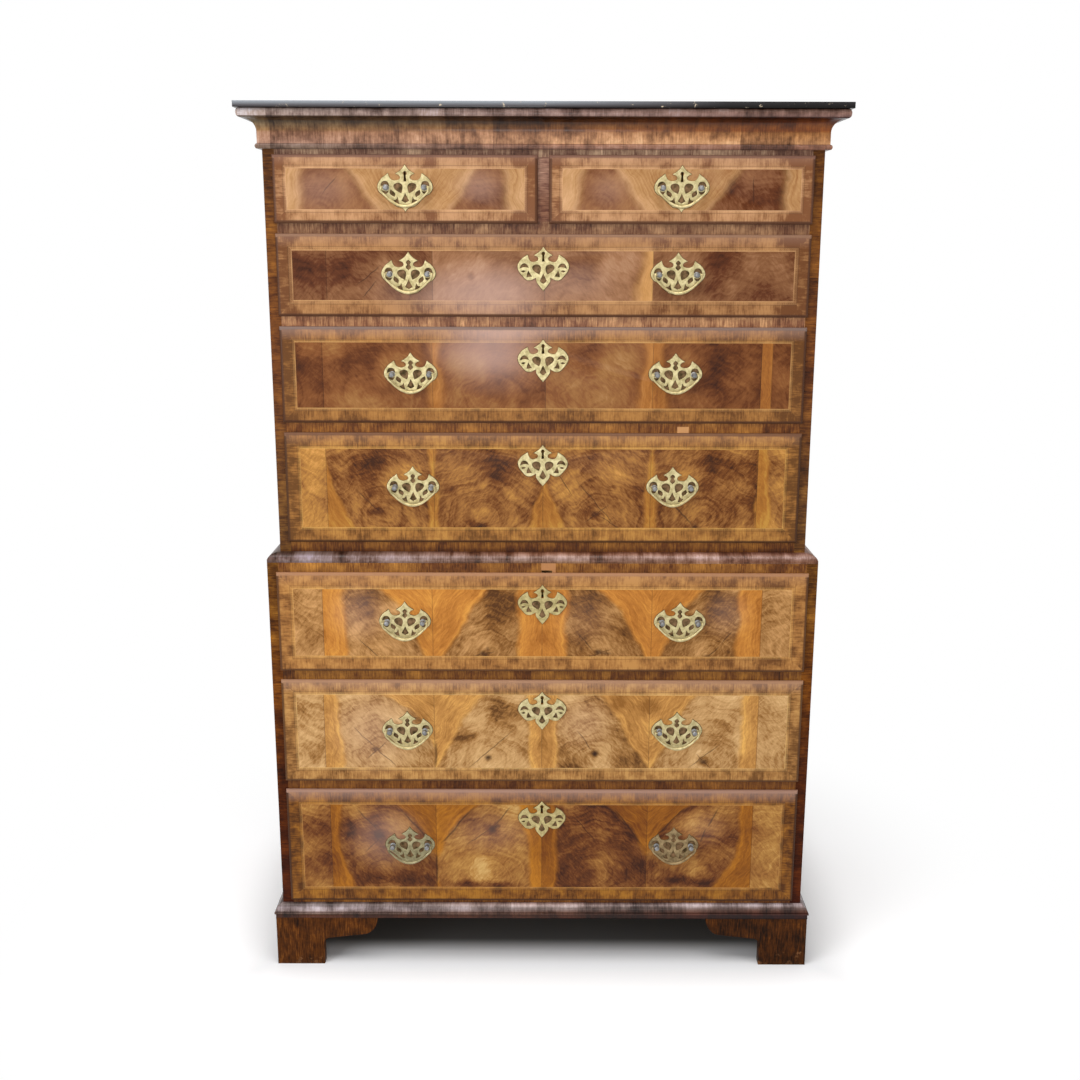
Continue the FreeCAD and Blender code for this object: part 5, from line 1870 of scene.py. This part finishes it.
WAIST_TONE_AND_LIGHT = (
    ((0, "#8088A4"), (3, "#9FA7B1"), (7, "#B2BDD0"), (11, "#A9B2CB"), (15, "#8D9199"), (16.8, "#888A90")),
    ((0, "#A89D82"), (3, "#B0A088"), (7, "#BDC0C4"), (11, "#CDCDCF"), (15, "#CDC1B7"), (16.8, "#A98D78")),
    ((0, "#B2A493"), (3, "#AA9078"), (7, "#B0A39C"), (11, "#DFE0E8"), (15, "#CCC3C0"), (16.8, "#A48D86")))
BASE_CODES = ("#463A3B", "#877876", "#BAACAB", "#E8DDE0")
BASE_TONE_AND_LIGHT = (
    ((0, "#6F4531"), (4, "#6C3C1F"), (7, "#62371D"), (9.5, "#87725F"), (12.5, "#9C887F"), (15, "#D5CECC"),
     (21, "#DBD9DF"), (24, "#AFAAAB"), (27, "#9A9290")),
    ((0, "#5F3423"), (4, "#563523"), (7, "#572F1C"), (9.5, "#70503F"), (12.5, "#74523F"), (15, "#8E776B"),
     (18, "#918179"), (21, "#A49B95"), (24, "#E2DAD6"), (27, "#F0DDD5")),
    ((0, "#300F08"), (4, "#390D03"), (7, "#3A0D03"), (9.5, "#56291C"), (12.5, "#5C3426"), (15, "#6A4434"),
     (18, "#745648"), (21, "#826E66"), (24, "#BBB2B1"), (27, "#EEE9EE")))
# Colours of the rails and of the upright between the short drawers, then tones by height: (up, colour)
RAIL_CODES = ("#422725", "#81524A", "#B9897A", "#ECB6A4")
PARTITION_CODES = ("#3D2121", "#784743", "#AD786F", "#DCA096")
# Tones of rails and stiles by height hold painted light and shade: painted shadow at the foot of the upper chest,
# just above the waist moulding, and a painted sky reflection on the top rail.
RAIL_TONE_AND_LIGHT = ((300, "#A98F42"), (400, "#A98F42"), (600, "#B7A24C"), (700, "#B7A24C"), (830, "#C4B059"),
               (848, "#C4B059"), (854, "#8F712C"), (859, "#967A34"), (868, "#C8B054"), (1080, "#CDB456"),
               (1280, "#F8F7C5"), (1420, "#C5C7A4"), (1500, "#C5C7A4"), (1545, "#E6FCE5"))
STILE_TONE_AND_LIGHT = ((140, "#AA7145"), (380, "#B88A43"), (600, "#E6C579"), (830, "#FAF9BA"),
                (900, "#F0F5DB"), (1200, "#E4C59F"), (1600, "#E6D89B"))
PATCHES = (Patch((-3.0, 817.0, 25.6, 845.0), "#B07C50"), Patch((250.0, 1082.0, 272.7, 1096.0), "#D39C66"))

ALL_HEART = (-900, -900, 0)         # heartwood from a leaf's left edge on
NO_END = (900, 900, 0)              # heartwood up to its right edge

FIGURES = {
    5: Figure(
        leaves=Leaf.rows(
            (-418, ALL_HEART, NO_END, 0.52),
            (-209, (-373, -378, 0), (-226, -300, 6), 0.50),
            (0, (-191, -112, 4), (-48, -44, 0), 0.46),
            (209, (46, 46, 0), (198, 112, 8), 0.45),
            (418, (226, 300, -8), (372, 376, 0), 0.45),
            (900, ALL_HEART, NO_END, 0.60)),
        clouds=Cloud.rows(
            (-448, -10, 22, 60, -0.12), (-330, 50, 45, 40, -0.14), (-95, 35, 45, 50, -0.22), (-60, 20, 25, 55, -0.16),
            (-112, -64, 22, 14, -0.3), (-210, 55, 40, 22, 0.10), (-130, -25, 40, 25, 0.14), (108, -62, 24, 14, -0.3),
            (90, 40, 45, 40, -0.12), (70, -10, 20, 60, -0.12), (345, 45, 50, 32, -0.22), (250, 30, 40, 40, -0.12),
            (315, -68, 18, 12, -0.3), (0, 65, 60, 18, -0.22), (395, 0, 20, 90, 0.22), (-400, 0, 18, 90, 0.12)),
        cracks=Crack.rows(
            ((-357, -28), (-303, -78)), ((60, -12), (100, -58)), ((310, -72), (342, -42)), ((342, -42), (362, -14)),
            ((78, -72), (135, -50)), ((-150, -70), (-85, -56))),
        knots=Cloud.rows(
            (-112, -62, 11, 7, 0.6), (-104, -52, 5, 6, 0.4), (108, -57, 9, 7, 0.7), (122, -60, 12, 4, 0.5),
            (315, -66, 10, 6, 0.5)),
        painted_sheens=Cloud.rows((-350, 20, 60, 60, 0.16), (350, 20, 50, 50, 0.12), (80, 10, 60, 60, 0.06))),
    6: Figure(
        leaves=Leaf.rows(
            (-423, ALL_HEART, NO_END, 0.44),
            (-209, (-385, -395, 0), (-209, -302, 36), 0.50),
            (0, (-207, -118, -2), (-22, -30, 0), 0.56),
            (209, (28, 32, 0), (212, 118, -2), 0.47),
            (420, (212, 292, -4), (388, 392, 0), 0.54),
            (900, ALL_HEART, NO_END, 0.58)),
        clouds=Cloud.rows(
            (-322, -38, 16, 12, -0.25), (-105, -54, 18, 14, -0.3), (105, -43, 14, 13, -0.3), (315, -60, 16, 12, -0.3),
            (-345, 45, 50, 40, 0.14), (-215, 45, 50, 34, -0.28), (-75, 45, 40, 34, -0.32), (-150, -10, 26, 16, -0.30),
            (-60, 0, 30, 20, -0.22), (150, 58, 34, 26, -0.36), (205, 52, 30, 24, -0.40), (90, 20, 40, 40, 0.18),
            (320, 30, 50, 60, 0.14), (170, -60, 60, 24, -0.22), (-60, -60, 50, 26, 0.14), (395, 0, 26, 90, 0.24),
            (350, 0, 30, 40, -0.12), (-300, -82, 90, 12, -0.3), (60, -72, 50, 14, -0.3)),
        cracks=Crack.rows(
            ((-368, 12), (-325, -36)), ((-325, -36), (-285, -72)), ((-50, 8), (-150, -80)), ((66, 6), (100, -40)),
            ((352, -22), (282, -78)), ((300, -44), (332, -76)), ((-208, -20), (-209, -78), 2.4),
            ((-345, -60), (-300, -18))),
        knots=Cloud.rows(
            (-325, -37, 8, 6, 0.5), (-105, -53, 8, 7, 0.85), (104, -44, 8, 8, 0.95), (315, -60, 9, 6, 0.65)),
        painted_sheens=Cloud.rows((-330, 0, 90, 90, 0.16), (80, 20, 60, 60, 0.10))),
    7: Figure(
        leaves=Leaf.rows(
            (-418, ALL_HEART, NO_END, 0.46),
            (-209, (-368, -392, -22), (-205, -285, 32), 0.44),
            (0, (-209, -128, -34), (-25, -52, 14), 0.68),
            (209, (28, 28, 0), (213, 132, 30), 0.30),
            (418, (205, 290, -34), (345, 390, 24), 0.46),
            (900, ALL_HEART, NO_END, 0.62)),
        clouds=Cloud.rows(
            (-320, 24, 20, 16, -0.3), (-98, 38, 20, 18, -0.3), (-300, -72, 90, 26, -0.34), (-120, -86, 90, 16, -0.55),
            (-285, 50, 40, 30, 0.22), (-380, 20, 14, 60, -0.26), (-330, -30, 50, 30, 0.06), (-170, 0, 30, 50, 0.10),
            (-130, -40, 60, 30, 0.14), (-135, 45, 40, 30, -0.22), (100, 20, 50, 40, 0.14), (120, -20, 50, 30, 0.10),
            (185, -30, 34, 60, -0.12), (60, 70, 60, 24, -0.16), (285, -75, 70, 16, -0.40), (300, 50, 50, 30, 0.20),
            (370, 30, 24, 50, -0.18), (0, -60, 40, 40, 0.06), (-445, 0, 26, 100, -0.10)),
        cracks=Crack.rows(
            ((-368, 82), (-320, 26), 1.4), ((-352, -14), (-318, 22)), ((-58, 88), (-98, 40), 1.4),
            ((-98, 40), (-150, 4)), ((58, 68), (112, 8)), ((350, 84), (328, 42), 1.6), ((328, 42), (314, 8), 1.4),
            ((-209, -10), (-209, -84), 1.8), ((-205, 0), (-130, 88), 1.8), ((-284, 82), (-214, 4), 1.6),
            ((138, 88), (208, -8), 1.8), ((288, 88), (218, 14), 1.4)),
        knots=Cloud.rows((-322, 22, 10, 7, 0.6), (-97, 38, 9, 11, 0.8), (-88, 44, 6, 5, 0.6)),
        painted_sheens=Cloud.rows((-310, 20, 80, 70, 0.22), (-100, 30, 90, 50, 0.10), (320, 40, 50, 40, 0.08)),
        fine=0.8),
    4: Figure(
        leaves=Leaf.rows(
            (-405, ALL_HEART, NO_END, 0.66),
            (-203, (-350, -404, -14), (-216, -216, 0), 0.42),
            (1, (-196, -200, 0), (-28, 6, 8), 0.42),
            (203, (44, 0, -12), (192, 200, 0), 0.48),
            (403, (214, 208, 0), (404, 408, 0), 0.46),
            (900, (430, 418, 0), NO_END, 0.62)),
        clouds=Cloud.rows(
            (-312, -45, 24, 14, -0.3), (-117, -70, 24, 14, -0.3), (100, -48, 20, 14, -0.3), (287, -70, 20, 14, -0.3),
            (-320, 55, 70, 26, -0.16), (-110, 40, 60, 34, -0.12), (365, -10, 34, 46, -0.12), (330, 50, 60, 30, -0.14),
            (270, -20, 50, 40, 0.10), (60, 10, 50, 50, 0.14), (-140, -20, 60, 30, 0.06), (-240, -70, 40, 20, 0.18),
            (420, -60, 24, 30, 0.16), (-390, 40, 18, 50, -0.1)),
        cracks=Crack.rows(
            ((60, 20), (142, -78)), ((78, -66), (126, -30)), ((240, -24), (285, -72), 1.4), ((-355, 0), (-300, -52)),
            ((20, 40), (60, -20)), ((104, -50), (150, -80)), ((-350, 30), (-320, 52))),
        knots=Cloud.rows(
            (-312, -45, 16, 8, 0.35), (-117, -72, 14, 8, 0.55), (100, -48, 11, 7, 0.45), (287, -72, 10, 7, 0.55)),
        eye=(110, -55), match=203, soft=5),
    3: Figure(
        leaves=Leaf.rows(
            (-405, ALL_HEART, NO_END, 0.26),
            (-203, ALL_HEART, (-214, -206, 0), 0.40),
            (5, (-180, -190, 0), NO_END, 0.46),
            (203, ALL_HEART, (172, 186, 4), 0.60),
            (402, (232, 224, 0), NO_END, 0.40),
            (422, NO_END, NO_END, 0.5),
            (900, ALL_HEART, NO_END, 0.42)),
        clouds=Cloud.rows(
            (-60, 30, 70, 30, 0.20), (-340, -48, 60, 20, 0.18), (-330, 30, 60, 30, -0.10), (-80, -30, 60, 24, -0.08),
            (110, -10, 60, 40, 0.10), (320, 0, 60, 50, -0.10), (-170, -20, 26, 40, 0.10), (250, -40, 30, 20, 0.12)),
        painted_sheens=Cloud.rows((-100, 45, 110, 50, 0.46), (-60, 85, 130, 30, 0.35), (-90, 0, 90, 40, 0.12)),
        fine=0.6, eye=(90, -40), match=203, soft=14),
    2: Figure(
        leaves=Leaf.rows(
            (-392, ALL_HEART, NO_END, 0.26),
            (-200, ALL_HEART, NO_END, 0.32),
            (3, ALL_HEART, NO_END, 0.60),
            (199, ALL_HEART, (166, 180, 0), 0.60),
            (900, ALL_HEART, NO_END, 0.42)),
        clouds=Cloud.rows(
            (-130, 0, 8, 8, -0.3), (270, 0, 60, 40, -0.12), (400, 20, 60, 30, 0.12), (-270, 20, 50, 30, 0.10),
            (60, 0, 40, 40, -0.12), (120, -20, 50, 30, 0.10), (-170, 0, 30, 40, 0.08)),
        cracks=Crack.rows(((-340, -20), (-290, 20)), ((-330, -40), (-300, -8))),
        painted_sheens=Cloud.rows((-100, -30, 130, 60, 0.42), (-230, -30, 90, 50, 0.12), (60, -10, 70, 40, 0.14)),
        fine=0.6, eye=(60, -58), match=200, soft=16),
}

SHORT_FIGURES = {
    "left": Figure(
        leaves=Leaf.rows(
            (0, (-186, -188, 0), (-58, -104, 0), 0.40),
            (900, (84, 132, 0), (178, 172, 0), 0.52)),
        clouds=Cloud.rows(
            (-140, 0, 44, 26, -0.12), (132, 0, 34, 30, -0.14), (-200, -20, 14, 30, -0.10), (200, 0, 16, 40, 0.08),
            (50, -10, 26, 40, -0.14), (-60, 20, 40, 18, 0.08)),
        cracks=Crack.rows(((-150, -10), (-120, 24))),
        painted_sheens=Cloud.rows((-150, 0, 70, 40, 0.14), (130, 5, 50, 34, 0.18)),
        fine=0.6, eye=(150, -34), match=330, soft=15),
    "right": Figure(
        leaves=Leaf.rows(
            (0, (-184, -176, 0), (-76, -118, 0), 0.42),
            (900, (52, 106, 0), (182, 180, 0), 0.38)),
        clouds=Cloud.rows(
            (-140, -4, 40, 26, -0.10), (128, -4, 50, 30, -0.14), (-205, -10, 14, 34, 0.10), (204, 0, 16, 40, 0),
            (-90, -20, 24, 16, 0.08), (0, 20, 60, 20, -0.06)),
        cracks=Crack.rows(((128, -30), (128, 26))),
        painted_sheens=Cloud.rows((-130, 0, 40, 34, 0.12)),
        fine=0.6, eye=(150, -34), match=330, soft=15),
}

PALETTES = {
    1: VeneerPalette(
        heart=("#341304", "#5B2E12", "#7C5033", "#906441", "#A27750"), sap=("#8B5A31", "#AC8153", "#C79C72"),
        band=("#774B2D", "#A27650", "#B88B63"), line="#CFA378", lip="#513120", lip_top_highlight="#735246"),
    2: VeneerPalette(
        heart=("#311304", "#582D14", "#7A5031", "#946949", "#AA8263"), sap=("#8C5B30", "#B28149", "#CD9A61"),
        band=("#683F21", "#93673F", "#A87A4D"), line="#C69A6A", lip="#4A2B1A", lip_top_highlight="#83634F"),
    3: VeneerPalette(
        heart=("#331404", "#5B2F10", "#7C4B25", "#926537", "#A77C4F"), sap=("#79441B", "#9A6128", "#B3793C"),
        band=("#603B1A", "#8B5D2E", "#A5743C"), line="#C5985E", lip="#462817", lip_top_highlight="#74625C"),
    4: VeneerPalette(
        heart=("#391A03", "#663811", "#8F5F2E", "#AE7B3A", "#C9924D"), sap=("#774615", "#9F6727", "#B7873A"),
        band=("#633E19", "#92622E", "#B07E3D"), line="#D0A056", lip="#442815", lip_top_highlight="#6A4A38"),
    5: VeneerPalette(
        heart=("#502E0D", "#7E5223", "#A57845", "#C2925C", "#D7AD70"), sap=("#8E5318", "#B6762F", "#D2933F"),
        band=("#673F1B", "#996835", "#B68347"), line="#D5A662", lip="#51311A", lip_top_highlight="#9F7557"),
    6: VeneerPalette(
        heart=("#5B3814", "#906432", "#B68D5A", "#CBA36F", "#E2BF8D"), sap=("#875822", "#B58142", "#DCA858"),
        band=("#6B451E", "#9C6E3B", "#BA8C50"), line="#DCB373", lip="#52341C", lip_top_highlight="#9C765C"),
    7: VeneerPalette(
        heart=("#351606", "#643614", "#8C5C2A", "#AF8041", "#C7A162"), sap=("#663407", "#8F5613", "#B4741E"),
        band=("#4C2908", "#7C4C17", "#9E6A22"), line="#C39151", lip="#3D2211", lip_top_highlight="#9A7868"),
}
# By row: change of tone to the right (the wood's tone with painted shade), change of tone of the band's ends,
# dust and painted sheen on the upper band, and widths of band and stringing
SLOPES = {1: -0.16, 2: 0.0, 3: -0.02, 4: 0.0, 5: 0.0, 6: -0.03, 7: 0.0}
ENDS = {1: -0.40, 2: -0.34, 3: -0.36, 4: -0.36, 5: -0.06, 6: -0.08, 7: -0.12}
DUST_AND_SHEEN = {1: 0.10, 2: 0.12, 3: 0.22, 4: 0.10, 5: 0.08, 6: 0.20, 7: 0.28}
BANDS = {1: (19.0, 5.3), 2: (22.6, 7.0), 3: (23.0, 5.5), 4: (24.5, 5.5), 5: (25.7, 6.0), 6: (23.6, 6.0),
         7: (25.0, 6.0)}


def dress_fronts(nodes: dict) -> None:
    """Lays the veneer on every drawer front and rounds its lip.

    Args:
        nodes: The model's nodes by name.
    """
    for name, node in nodes.items():
        if not name.endswith("_front"):
            continue
        low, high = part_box(name)
        centre = Vector(((low.x + high.x) / 2, low.y, (low.z + high.z) / 2))
        half = ((high.x - low.x) / 2 / MM, (high.z - low.z) / 2 / MM)
        words = name.split("_")
        row = int(words[1])
        figure = SHORT_FIGURES[words[2]] if row == 1 else FIGURES[row]
        band, feather = BANDS[row]
        material = MatchedVeneer(name + " veneer", centre, half, figure, PALETTES[row], band, feather,
                                 drift=row * 13.0 + len(name), slope=SLOPES[row], ends=ENDS[row],
                                 dust=DUST_AND_SHEEN[row]).material()
        shape = Shape.copy_of(node)
        shape.wear(0.9, 12.0)
        shape.finish(name + "_veneered", name[:-len("_front")], material, name, smooth=20.0, turn_out=False)


if __name__ == "__main__":
    logging.basicConfig(level=logging.INFO, format="%(message)s")
    main()
